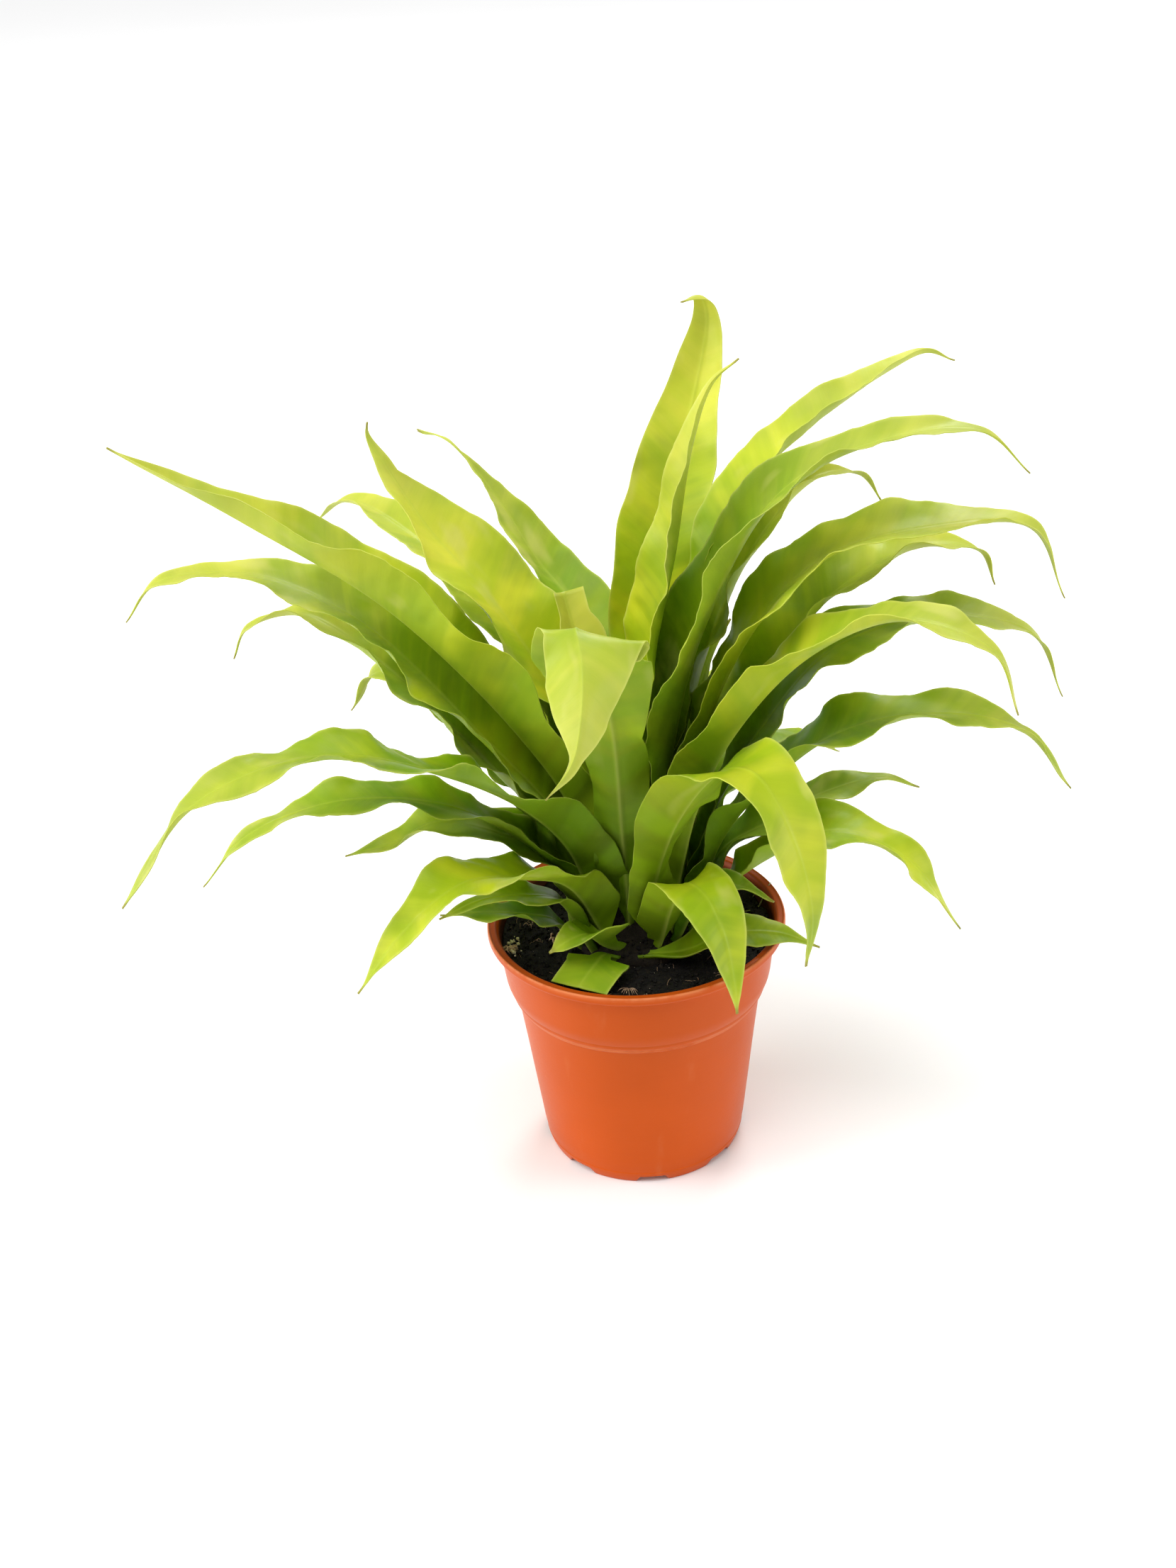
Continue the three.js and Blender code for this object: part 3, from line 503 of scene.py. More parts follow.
def bump(tree, height, distance, strength=1.0):
    """A normal from a height in metres times the distance."""
    inputs = {"Height": height, "Distance": distance, "Strength": strength}
    return add_node(tree, "ShaderNodeBump", None, inputs).outputs["Normal"]


def new_material(name, roughness, **sockets):
    """A named material, its node tree and its shader, with uniform values on the shader's sockets."""
    material = bpy.data.materials.new(name)
    material.use_nodes = True
    tree = material.node_tree
    shader = tree.nodes["Principled BSDF"]
    for key, value in {"Roughness": roughness, **sockets}.items():
        shader.inputs[key.replace("_", " ")].default_value = value
    return material, tree, shader


def feed(tree, shader, **sockets):
    """Links sockets to the shader's inputs."""
    for key, value in sockets.items():
        tree.links.new(value, shader.inputs[key.replace("_", " ")])


def blade_material(name, colour):
    """A satin blade: soft stripes of painted shade along its veins, a base darkened with painted shade,
    mottled painted light and shade, painted glare, a paler tip partly painted light, and a margin with
    a painted highlight.
    """
    material, tree, shader = new_material(
        name, 0.36, Specular_IOR_Level=0.16, Subsurface_Weight=0.16,
        Subsurface_Radius=(0.004, 0.005, 0.0008), Subsurface_Scale=0.5,
    )
    distance, aside, rib, under = (own(tree, mark) for mark in ("distance", "aside", "rib", "under"))
    lanes = joined(tree, own(tree, "vein"), scaled(tree, aside, 0.14))
    stripes = ease(tree, noise_of(tree, 38.0, 2.0, lanes), 0.4, 0.6)
    narrow = ease(tree, noise_of(tree, 150.0, 2.0, lanes), 0.4, 0.66)
    veins = noise_of(tree, 620.0, 2.0, lanes)
    # Painted light and shade: the blade's colour mottled with lit and shaded copies of it
    light_and_shade_patches = ease(tree, noise_of(tree, 17.0, 3.0), 0.36, 0.64)
    mottle = noise_of(tree, 420.0, 2.0)
    # Painted shade: the blade turns deep green towards its base, in the shaded hollow of the crown
    base = ease(tree, scaled(tree, noise_of(tree, 26.0), 0.06, distance), 0.06, 0.27)
    body = blend(tree, light_and_shade_patches, shade(colour, 0.62), warm(colour, 1.24))
    body = blend(tree, narrow, body, tint(colour, 1.45), 0.22)
    body = blend(tree, base, shade(colour, 0.3), body)
    # A paler tip: partly its own colour, partly painted light that is stronger the higher the tip
    # stands
    tipward = scaled(tree, own(tree, "tipward"), 0.72)
    body = blend(tree, tipward, body, TIP_TONE)
    # Stripes of painted shade along the veins, as light through the blade shows them, fainter towards
    # the tip
    fading = scaled(tree, tipward, -0.6, 0.62)
    body = blend(tree, scaled(tree, stripes, fading), body, shade(colour, 0.74))
    body = blend(tree, veins, body, shade(colour, 0.7), 0.14)
    # Painted glare: pale sheen in spots, kept off the shaded base
    stretched = joined(tree, distance, scaled(tree, aside, 2.4), own(tree, "turn"))
    glare = scaled(tree, ease(tree, noise_of(tree, 21.0, 2.0, stretched), 0.58, 0.74), base)
    body = blend(tree, glare, body, GLARE_TONE, 0.42)
    top = blend(tree, rib, body, RIB_TONE, 0.25)
    # Painted highlight along the margin
    top = blend(tree, own(tree, "edge"), top, MARGIN_HIGHLIGHT_TONE, 0.45)
    dull = blend(tree, base, body, UNDERSIDE_TONE, 0.26)
    dull = blend(tree, rib, dull, UNDER_RIB_TONE, 0.35)
    tone = blend(tree, under, top, dull)
    tone = blend(tree, own(tree, "end"), tone, DRY_TONE, 0.75)
    ridges = scaled(tree, mottle, 0.4, scaled(tree, veins, 0.6))
    gloss = scaled(tree, under, 0.12, scaled(tree, mottle, 0.16, 0.34))
    feed(tree, shader, Base_Color=tone, Roughness=gloss, Normal=bump(tree, ridges, 0.22 * MM, 0.5))
    return material


def pot_material(settings):
    """Satin terracotta-coloured plastic with faint rings and scuffs, painted highlights on its ridges,
    a dark inside, a painted shadow on the rim's top and painted shade under the lip.
    """
    colour = tuple(settings.colour)
    material, tree, shader = new_material(
        "terracotta_plastic", settings.roughness, Specular_IOR_Level=0.13,
    )
    cloud = ease(tree, noise_of(tree, 7.0, 3.0), 0.3, 0.7)
    grain = noise_of(tree, 900.0, 2.0)
    rings = noise_of(tree, 55.0, 2.0, stretch=(0.4, 0.4, 14))
    scuffs = ease(tree, noise_of(tree, 60.0, 5.0, stretch=(1, 1, 0.3)), 0.62, 0.78)
    # Painted highlight along the step's ridge and the rim's outer edge, broken up by noise
    ridge_highlight = scaled(tree, own(tree, "ridge_highlight"), ease(tree, noise_of(tree, 90.0, 3.0), 0.2, 0.6))
    # Dashes of painted shade under the lip
    spots = ease(tree, noise_of(tree, 130.0, 2.0, stretch=(1, 1, 2.5)), 0.66, 0.7)
    tone = blend(tree, cloud, tint(colour, 0.92), tint(colour, 1.08))
    tone = blend(tree, rings, tone, tint(colour, 0.82), 0.14)
    tone = blend(tree, scuffs, tone, SCUFF_TONE, 0.1)
    tone = blend(tree, ridge_highlight, tone, RIDGE_HIGHLIGHT_TONE, 0.5)
    # Darker inside below the rim, and a painted shadow of the leaves on the rim's top
    tone = blend(tree, own(tree, "inside"), tone, INSIDE_AND_SHADOW_TONE, 0.94)
    tone = blend(tree, scaled(tree, spots, own(tree, "under_lip")), tone, UNDER_LIP_SHADE_TONE)
    gloss = scaled(tree, grain, 0.14, settings.roughness - 0.07)
    relief = scaled(tree, rings, 0.6, scaled(tree, grain, 0.35))
    feed(
        tree, shader, Base_Color=tone, Roughness=scaled(tree, scuffs, 0.12, gloss),
        Normal=bump(tree, relief, 0.12 * MM, 0.5),
    )
    return material


def peat_material(name, colour, shine=0.8):
    """Damp crumbly peat, nearly black, with brown fibres in it."""
    material, tree, shader = new_material(name, shine, Specular_IOR_Level=0.16)
    lumps = noise_of(tree, 160.0, 6.0)
    grain = noise_of(tree, 900.0, 4.0)
    brown = ease(tree, noise_of(tree, 330.0, 3.0), 0.52, 0.7)
    tone = blend(tree, lumps, tint(colour, 0.5), tint(colour, 1.9))
    tone = blend(tree, brown, tone, BROWN_PEAT_TONE, 0.3)
    relief = scaled(tree, lumps, 1.0, scaled(tree, grain, 0.5))
    wet = scaled(tree, grain, 0.4, shine - 0.25)
    feed(tree, shader, Base_Color=tone, Roughness=wet, Normal=bump(tree, relief, 1.6 * MM, 0.9))
    return material


def fibre_material(name):
    """Dry root or fibre, streaked along its length."""
    pale, dark = FIBRE_TONES[name]
    material, tree, shader = new_material(name, 0.7)
    streak = noise_of(tree, 700.0, 3.0)
    tone = blend(tree, ease(tree, streak, 0.35, 0.65), dark, pale)
    feed(tree, shader, Base_Color=tone, Normal=bump(tree, streak, 0.15 * MM, 0.6))
    return material


def floor_material(settings):
    """A matt white floor that gives off a little light, with a trace of tone in it."""
    colour = tuple(settings.floor)
    material, tree, shader = new_material(
        "studio_sweep", 0.9, Specular_IOR_Level=0.2,
        Emission_Color=(1, 1, 1, 1), Emission_Strength=settings.glow,
    )
    tone = blend(tree, noise_of(tree, 1.3, 2.0), tint(colour, 0.985), tint(colour, 1.0))
    feed(tree, shader, Base_Color=tone)
    return material


def place_in_scene(name, data, matrix=Matrix()):
    """A new object in the scene, at the origin or where its matrix puts it."""
    item = bpy.data.objects.new(name, data)
    item.matrix_world = matrix
    bpy.context.scene.collection.objects.link(item)
    return item


def mesh_piece(name, points, faces, material, node=None):
    """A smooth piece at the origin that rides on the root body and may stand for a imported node."""
    mesh = bpy.data.meshes.new(name)
    mesh.from_pydata([tuple(point) for point in points], [], [tuple(face) for face in faces])
    mesh.polygons.foreach_set("use_smooth", [True] * len(mesh.polygons))
    mesh.materials.append(material)
    mesh.update()
    piece = place_in_scene(name, mesh)
    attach(piece, "root")
    if node:
        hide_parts(node)
    return piece


def store(piece, name, values):
    """Keeps one number for each point of a piece, for its material."""
    layer = piece.data.attributes.new(name, "FLOAT", "POINT")
    layer.data.foreach_set("value", np.asarray(values, np.float32))


def wander(seed, places, spacing):
    """A smooth random line from -1 to 1 that turns about once a spacing, read at places."""
    knots = np.random.default_rng(seed).uniform(-1, 1, 400)
    spots = places / spacing + 100
    below = np.floor(spots).astype(int)
    share = spots - below
    share = share * share * (3 - 2 * share)
    return knots[below] * (1 - share) + knots[below + 1] * share


def on_bearing(bearing, out, up):
    """A point in millimetres from its bearing, its distance from the axis and its height."""
    angle = math.radians(bearing)
    return np.array((out * math.cos(angle), out * math.sin(angle), up), float)


def crown_height(radius):
    """Height of the crown's dome at a distance from the axis."""
    return CROWN_TOP - (CROWN_TOP - CROWN_EDGE) * (radius / CROWN_RADIUS) ** 2


def smooth_step(value, low, high):
    """0 under low, 1 over high, and a smooth step between."""
    share = np.clip((value - low) / (high - low), 0, 1)
    return share * share * (3 - 2 * share)


def unit(vectors):
    """Vectors brought to a length of 1."""
    return vectors / np.linalg.norm(vectors, axis=-1, keepdims=True)


def near(values, place, width):
    """1 at a place, falling away to 0 over about the width."""
    return np.exp(-((values - place) / width) ** 2)


class Spine:
    """A centripetal curve through points, read by the share of its length."""

    def __init__(self, points, parts=900):
        self.points = np.array(points)
        self.places = self.at(np.linspace(0, 1, parts + 1))
        steps = np.linalg.norm(np.diff(self.places, axis=0), axis=1)
        self.run = np.concatenate(([0], np.cumsum(steps)))
        self.length = self.run[-1]

    def at(self, values):
        """Places at values from 0 to 1 that pass from point to point at an even rate."""
        spans = len(self.points) - 1
        ends = (2 * self.points[0] - self.points[1], 2 * self.points[-1] - self.points[-2])
        held = np.vstack((ends[0], self.points, ends[1]))
        found = []
        for value in values:
            span = min(int(value * spans), spans - 1)
            w = value * spans - span
            before, start, end, after = held[span:span + 4]
            pairs = ((before, start), (start, end), (end, after))
            gap, mid, last = [np.sum((b - a) ** 2) ** 0.25 for a, b in pairs]
            leave = (start - before) / gap - (end - before) / (gap + mid) + (end - start) / mid
            reach = (end - start) / mid - (after - start) / (mid + last) + (after - end) / last
            leave, reach = leave * mid, reach * mid
            found.append(
                start + leave * w
                + (3 * (end - start) - 2 * leave - reach) * w ** 2
                + (2 * (start - end) + leave + reach) * w ** 3
            )
        return np.array(found)

    def along(self, shares, nudge=1e-3):
        """Places and directions at shares of the length."""
        def place(share):
            values = np.interp(share * self.length, self.run, np.linspace(0, 1, len(self.run)))
            return self.at(values)
        ahead = place(np.clip(shares + nudge, 0, 1))
        behind = place(np.clip(shares - nudge, 0, 1))
        return place(shares), unit(ahead - behind)


def frond_spine(frond):
    """The midrib's line, from its foot inside the crown, through the surface, to the tip."""
    radius, bearing = frond["root"]
    surface = on_bearing(bearing, radius, crown_height(radius))
    line = [
        on_bearing(frond["bearing"] + (rest[0] if rest else 0), out, up)
        for out, up, *rest in frond["path"]
    ]
    foot = surface - unit(line[0] - surface) * STALK_DEPTH
    return Spine([foot, surface, *line])


def frond_width(frond, shares, distances):
    """The flat blade's width in millimetres at each station."""
    belly = frond["belly"]
    rise = np.sin(math.pi / 2 * np.clip(shares / belly, 0, 1)) ** frond["rise"]
    room = STALK_WIDTH + frond["flare"] * (distances - STALK_END)
    widening = np.minimum(room, np.maximum(frond["foot"], frond["width"] * rise))
    past = np.clip((shares - belly) / (1 - belly), 0, 1)
    tapering = np.maximum(frond["tip"], frond["width"] * (1 - past ** 2) ** TIP_TAPER)
    width = np.where(shares < belly, widening, tapering)
    return np.where(distances < STALK_END, STALK_WIDTH, width)


def ear(frond, shares, side):
    """How far a margin's pointed corners stand out further, in millimetres."""
    out = np.zeros(len(shares))
    for place, height, span, of_side in frond["ears"]:
        if of_side == np.sign(side):
            out += height * np.clip(1 - np.abs(shares - place) / span, 0, 1) ** 1.3
    return out


def eased_mix(three, shares):
    """A number at each station, from its values at the base, the middle and the tip."""
    return np.interp(shares, (0, 0.5, 1), three)


class Blade:
    """One frond's stations, and the lines of points that run along its blade."""

    def __init__(self, frond, settings, order):
        self.frond, self.settings, self.order = frond, settings, order
        spine = frond_spine(frond)
        self.length = spine.length
        stations = max(24, round(spine.length * MM / settings.spacing))
        self.shares = shares = np.linspace(0, 1, stations + 1)
        self.distances = shares * spine.length
        self.middle, along = spine.along(shares)
        self.face_ways(along)
        self.cup = np.radians(eased_mix(frond["cup"], shares))
        self.free = smooth_step(self.distances, STALK_END, STALK_END + WAVE_RUN) * (1 - shares ** 4)
        self.stalk = 1 - smooth_step(self.distances, STALK_END, STALK_END + THINNING_RUN)
        self.plain_half = frond_width(frond, shares, self.distances) / 2

    def face_ways(self, along):
        """Finds the ways across the blade and out of its face at each station."""
        angle = math.radians(self.frond["bearing"])
        level = np.array((-math.sin(angle), math.cos(angle), 0))
        level = unit(level - along * (along @ level)[:, None])
        facing = np.cross(along, level)
        roll = np.radians(eased_mix(self.frond["roll"], self.shares))[:, None]
        self.across = level * np.cos(roll) + facing * np.sin(roll)
        self.normal = np.cross(along, self.across)

    def relief(self, side, seed, half, vein):
        """How far waves, ruffles, pleats and buckles lift a line off the plain blade."""
        part = abs(side)
        waves, height, start = self.frond["waves"]
        turn = 2 * math.pi * (start + (0 if side > 0 else WAVE_OFFSET))
        swell = np.sin(2 * math.pi * waves * self.shares + turn) * height * part ** 1.7
        ruffle = wander(seed + 3, self.distances, RUFFLE_RUN) * self.settings.ruffle / MM * part ** 3
        bow = wander(seed + 5, self.distances, BOW_RUN) * part * (1 - part) * 4
        pleat = wander(seed + 7, vein, PLEAT_RUN) * self.settings.pleat / MM * part ** 0.7
        places = self.middle + self.across * (side * half)[:, None]
        buckle = np.array([rough(*place, BUCKLE_SIZE) for place in places])
        narrow = np.clip(self.plain_half / FULL_RELIEF, 0, 1)
        return self.free * (swell + narrow * (ruffle + bow * BOW + pleat + buckle * BUCKLE * part))

    def thickness(self, part, from_rib):
        """The blade's thickness, with the keel under the midrib and the stalk at the base."""
        keel = self.settings.keel / MM * near(from_rib, 0, KEEL_REACH) * (1 - self.shares) ** 0.5
        blade = self.settings.blade / MM * (1 - part ** 2) + self.settings.margin / MM * part ** 2
        return blade + keel + self.stalk * (STALK_THICKNESS - blade) * (1 - 0.4 * part ** 2)

    def line(self, side):
        """A line's top points, bottom points and marks. Side is a share of the half width."""
        part = abs(side)
        seed = 10 * self.order + (1 if side > 0 else 2)
        drift = 1 + MARGIN_DRIFT * self.free * wander(seed, self.distances, MARGIN_RUN)
        half = self.plain_half * drift + ear(self.frond, self.shares, side)
        from_rib = part * half
        vein = self.distances - VEIN_SLANT * from_rib
        lift = self.relief(side, seed, half, vein)
        lean = np.sign(side) * self.across
        face = self.normal * np.cos(self.cup)[:, None] - lean * np.sin(self.cup)[:, None]
        aside = side * half * np.cos(self.cup)
        upward = half * np.sin(self.cup) * part ** 1.35
        ridge = RIDGE * near(from_rib, 0, RIDGE_REACH) * (1 - self.stalk)
        top = self.middle + self.across * aside[:, None] + self.normal * (upward + ridge)[:, None]
        top = top + face * lift[:, None]
        inward = unit(self.normal * (1 - part) + face * part)
        bottom = top - inward * self.thickness(part, from_rib)[:, None]
        # Where the margin's painted highlight lies
        edge = near(half, from_rib, EDGE_REACH) * (1 - self.stalk)
        pattern = (vein + PATTERN_STEP * self.order) * MM
        rib = near(from_rib, 0, RIB_REACH)
        return top, bottom, (rib, edge, np.sign(side) * from_rib * MM, pattern)

    def station_marks(self):
        """The marks that are the same all across the blade."""
        # Painted light: a tip is paler the higher it stands
        tip_light_by_height = np.interp(self.middle[:, 2], TIP_LIGHT_HEIGHTS, (LOW_TIP_LIGHT, 1))
        pointed = self.frond["tip"] == TIP_WIDTH
        return {
            "distance": self.distances * MM * max(1, BASE_RUN / self.length),
            "tipward": smooth_step(self.shares, *TIPWARD) * tip_light_by_height,
            "end": smooth_step(self.distances, self.length - DRY_TIP, self.length - 1) * pointed,
            "turn": np.full(len(self.shares), GLARE_STEP * self.order),
        }


def frond_piece(frond, settings, material, order):
    """One fine blade with a keel, a raised line over the midrib, waves, ruffles and pleats, closed all
    round.
    """
    blade = Blade(frond, settings, order)
    sides = [-share for share in ACROSS[:0:-1]] + list(ACROSS)
    top, bottom, marks = zip(*(blade.line(side) for side in sides))
    points = np.concatenate([np.stack(face, 1).reshape(-1, 3) for face in (top, bottom)])
    piece = mesh_piece(
        f"blade_{frond['name']}", points * MM, blade_faces(len(blade.shares), len(sides)), material,
        f"frond_{frond['name']}",
    )
    for name, lines in zip(("rib", "edge", "aside", "vein"), zip(*marks)):
        store(piece, name, np.tile(np.stack(lines, 1).ravel(), 2))
    for name, values in blade.station_marks().items():
        store(piece, name, np.tile(np.repeat(values, len(sides)), 2))
    store(piece, "under", np.repeat((0.0, 1.0), len(points) // 2))


def blade_faces(rows, columns):
    """Faces of a closed blade: its top grid, its bottom grid after it, its edges and its ends."""
    def at(row, column, below=0):
        return (below * rows + row) * columns + column
    faces = []
    last = columns - 1
    for row, ahead in zip(range(rows - 1), range(1, rows)):
        for column, beside in zip(range(last), range(1, columns)):
            faces.append((at(row, column), at(ahead, column), at(ahead, beside), at(row, beside)))
            faces.append((
                at(row, column, 1), at(row, beside, 1), at(ahead, beside, 1), at(ahead, column, 1),
            ))
        faces.append((at(row, 0), at(row, 0, 1), at(ahead, 0, 1), at(ahead, 0)))
        faces.append((at(row, last), at(ahead, last), at(ahead, last, 1), at(row, last, 1)))
    end = rows - 1
    for column, beside in zip(range(last), range(1, columns)):
        faces.append((at(0, column), at(0, beside), at(0, beside, 1), at(0, column, 1)))
        faces.append((at(end, column), at(end, column, 1), at(end, beside, 1), at(end, beside)))
    return faces


def rounded(profile, parts=5):
    """A profile of (radius, height, corner) with its corners rounded, ready to turn."""
    points = []
    for index, (radius, height, corner) in enumerate(profile):
        here = np.array((radius, height), float)
        if corner == 0 or index in (0, len(profile) - 1):
            points.append(here)
            continue
        before, after = (np.array(profile[index + way][:2]) - here for way in (-1, 1))
        reach = min(corner, np.linalg.norm(before) * 0.45, np.linalg.norm(after) * 0.45)
        start, end = (here + unit(way) * reach for way in (before, after))
        for step in range(parts + 1):
            w = step / parts
            points.append(start * (1 - w) ** 2 + 2 * here * w * (1 - w) + end * w ** 2)
    return points


def turned(profile, steps):
    """Points and faces of a closed solid turned about +Z, whose profile starts and ends on the axis."""
    points = [(0, 0, profile[0][1])]
    rings = profile[1:-1]
    for radius, height in rings:
        for step in range(steps):
            angle = 2 * math.pi * step / steps
            points.append((radius * math.cos(angle), radius * math.sin(angle), height))
    points.append((0, 0, profile[-1][1]))
    last = len(points) - 1
    final = 1 + (len(rings) - 1) * steps
    faces = []
    for step in range(steps):
        ahead = (step + 1) % steps
        faces.append((0, 1 + ahead, 1 + step))
        faces.append((last, final + step, final + ahead))
        for low in range(1, final, steps):
            high = low + steps
            faces.append((low + step, low + ahead, high + ahead, high + step))
    return np.array(points, float), faces


def pot_profile(corner):
    """The pot's section in millimetres, from the underside's middle round to the inner floor's."""
    channel_top = UNDERSIDE_LIFT + FLOOR
    return [
        (0, 0, 0),
        (UNDERSIDE_DISC_RADIUS, 0, corner),
        (UNDERSIDE_DISC_RADIUS + 3, UNDERSIDE_LIFT, corner),
        (FOOT_RADIUS - 7, UNDERSIDE_LIFT, corner),
        (FOOT_RADIUS - 5.6, 0, corner),
        (FOOT_RADIUS - 1.4, 0, corner),
        (FOOT_RADIUS + 0.4, 4.6, 4),
        (FOOT_RADIUS + 1.1, 7.4, 0.4),
        (FOOT_RADIUS + 0.9, 8, 0.3),
        (FOOT_RADIUS + 2.2, 15, 6),
        (WAIST_RADIUS, WAIST_HEIGHT, 20),
        (STEP_LOW_RADIUS - 0.3, STEP_HEIGHT - 2.4, 1),
        (STEP_LOW_RADIUS + 0.9, STEP_HEIGHT - 1.2, 0.4),
        (STEP_LOW_RADIUS + 1.2, STEP_HEIGHT - 0.4, 0.4),
        (STEP_LOW_RADIUS + 1.2, STEP_HEIGHT + 0.6, 0.4),
        (STEP_TOP_RADIUS + 0.9, STEP_HEIGHT + 9, 9),
        (NECK_RADIUS - 0.6, LIP_BOTTOM - 4, 0),
        (NECK_RADIUS - 0.15, LIP_BOTTOM - 1.2, 0),
        (NECK_RADIUS, LIP_BOTTOM, 0.4),
        (RIM_RADIUS - 0.6, LIP_BOTTOM + 0.1, 0.5),
        (RIM_RADIUS, LIP_BOTTOM + 1.6, 0.8),
        (RIM_RADIUS - 0.1, POT_HEIGHT - 0.9, 1),
        (RIM_RADIUS - 0.9, POT_HEIGHT, 0.7),
        (RIM_RADIUS - 1.7, POT_HEIGHT - 0.6, 0.4),
        (RIM_RADIUS - RIM_WIDTH, POT_HEIGHT - 0.5, 1),
        (NECK_RADIUS - WALL + 0.8, POT_HEIGHT - 3, 2),
        (NECK_RADIUS - WALL - 0.3, POT_HEIGHT - 7, 0),
        (STEP_TOP_RADIUS - WALL + 2, STEP_HEIGHT + 20, 0),
        (STEP_TOP_RADIUS - WALL, STEP_HEIGHT + 2, 1),
        (STEP_LOW_RADIUS - WALL, STEP_HEIGHT - 4, 1),
        (FOOT_RADIUS + 1.5 - WALL, 10, 1),
        (FOOT_RADIUS - 1 - WALL, channel_top, 0),
        (UNDERSIDE_DISC_RADIUS + 4, channel_top, 0),
        (UNDERSIDE_DISC_RADIUS + 1, FLOOR, 0),
        (0, FLOOR, 0),
    ]


def mark_pot(piece):
    """Keeps on the pot's points its painted ridge highlights, its dark inside with a painted shadow on
    the rim's top, and painted shade under the lip.
    """
    places = np.empty(3 * len(piece.data.vertices))
    piece.data.vertices.foreach_get("co", places)
    x, y, height = places.reshape(-1, 3).T / MM
    radius = np.hypot(x, y)
    # Painted highlights: a pale line along the step's ridge and round the rim's outer edge
    ridge_highlight = near(height, STEP_HEIGHT, 1.6) * (radius > STEP_LOW_RADIUS - 1) * 0.7
    ridge_highlight += near(radius, RIM_RADIUS - 0.4, 0.8) * near(height, POT_HEIGHT - 0.6, 0.9)
    heights, radii = (STEP_HEIGHT, LIP_BOTTOM, POT_HEIGHT), (STEP_TOP_RADIUS, NECK_RADIUS, RIM_RADIUS)
    inner = (radius < np.interp(height, heights, radii) - 1) & (height > STEP_HEIGHT + 12)
    inside = smooth_step(POT_HEIGHT - height, 2.2, 6) * inner
    # Painted shadow of the leaves on the rim's top, which darkens it along with the inside
    rim_top_shadow = (height > POT_HEIGHT - 1.4) & (radius < RIM_RADIUS - 1.4)
    store(piece, "ridge_highlight", np.clip(ridge_highlight, 0, 1))
    store(piece, "inside", np.clip(inside + 0.22 * rim_top_shadow, 0, 1))
    # Where the dashes of painted shade under the lip lie
    store(piece, "under_lip", near(height, LIP_BOTTOM - 0.8, 1) * (radius > NECK_RADIUS - 1.5))


def foot_cutters():
    """One mesh of the blocks and drills that cut the foot's notches and the drain holes."""
    cutter = bmesh.new()
    size = (FOOT_NOTCH_REACH, FOOT_NOTCH_WIDTH + 2 * FOOT_NOTCH_SLANT, 2 * FOOT_NOTCH_HEIGHT)
    stretch = Matrix.Diagonal((*(part * MM for part in size), 1))
    for index in range(FOOT_NOTCHES):
        bearing = math.radians(-90 + FOOT_NOTCH_TURN + index * 360 / FOOT_NOTCHES)
        turn = Matrix.Rotation(bearing, 4, "Z")
        place = turn @ Matrix.Translation(((FOOT_RADIUS - 1) * MM, 0, 0)) @ stretch
        beside = Vector((-math.sin(bearing), math.cos(bearing), 0))
        for vertex in bmesh.ops.create_cube(cutter, size=1, matrix=place)["verts"]:
            pull = math.copysign(FOOT_NOTCH_SLANT * MM, vertex.co.z)
            vertex.co -= beside * math.copysign(1, vertex.co.dot(beside)) * pull
        bmesh.ops.create_cone(
            cutter, cap_ends=True, segments=28, radius1=DRAIN_RADIUS * MM, radius2=DRAIN_RADIUS * MM,
            depth=12 * MM,
            matrix=turn @ Matrix.Translation((DRAIN_RING_RADIUS * MM, 0, UNDERSIDE_LIFT * MM)),
        )
    mesh = bpy.data.meshes.new("foot_cutters")
    cutter.to_mesh(mesh)
    cutter.free()
    return mesh


def cut_away(piece, mesh):
    """Cuts a mesh out of a piece for good."""
    tool = place_in_scene(mesh.name, mesh)
    cut = piece.modifiers.new("cut", "BOOLEAN")
    cut.operation = "DIFFERENCE"
    cut.solver = "EXACT"
    cut.object = tool
    bpy.context.view_layer.update()
    seen = piece.evaluated_get(bpy.context.evaluated_depsgraph_get())
    finished = bpy.data.meshes.new_from_object(seen)
    piece.modifiers.remove(cut)
    piece.data = finished
    bpy.data.objects.remove(tool)
    bpy.data.meshes.remove(mesh)


def peat_lift(x, y, radius):
    """Slow rise and fall of the peat in millimetres, as in the solids."""
    free = smooth_step(radius, CROWN_RADIUS, CROWN_RADIUS + 12)
    bumps = math.sin(x * 0.11 + 0.6) * math.cos(y * 0.13) + 0.5 * math.sin(x * 0.05 - y * 0.21)
    return free * PEAT_SWELL * bumps


def rough(x, y, z, scale):
    """Noise from -1 to 1 at a point in millimetres, with lumps of about the scale."""
    return noise.fractal(Vector((x, y, z)) / scale, 0.7, 2.1, 4)


def peat_height(x, y):
    """Height of the finished peat's crumbly surface in millimetres."""
    radius = math.hypot(x, y)
    base = PEAT_TOP + peat_lift(x, y, radius) + PEAT_BANK_HEIGHT * smooth_step(radius, *PEAT_BANK)
    return base + 1.1 * rough(x, y, 3, 7) + 0.5 * rough(x, y, 9, 2.4) - 0.4


def surface_height(x, y):
    """Height of the peat, or of the crown where it stands, in millimetres."""
    radius = math.hypot(x, y)
    return crown_height(radius) if radius < CROWN_RADIUS else peat_height(x, y)


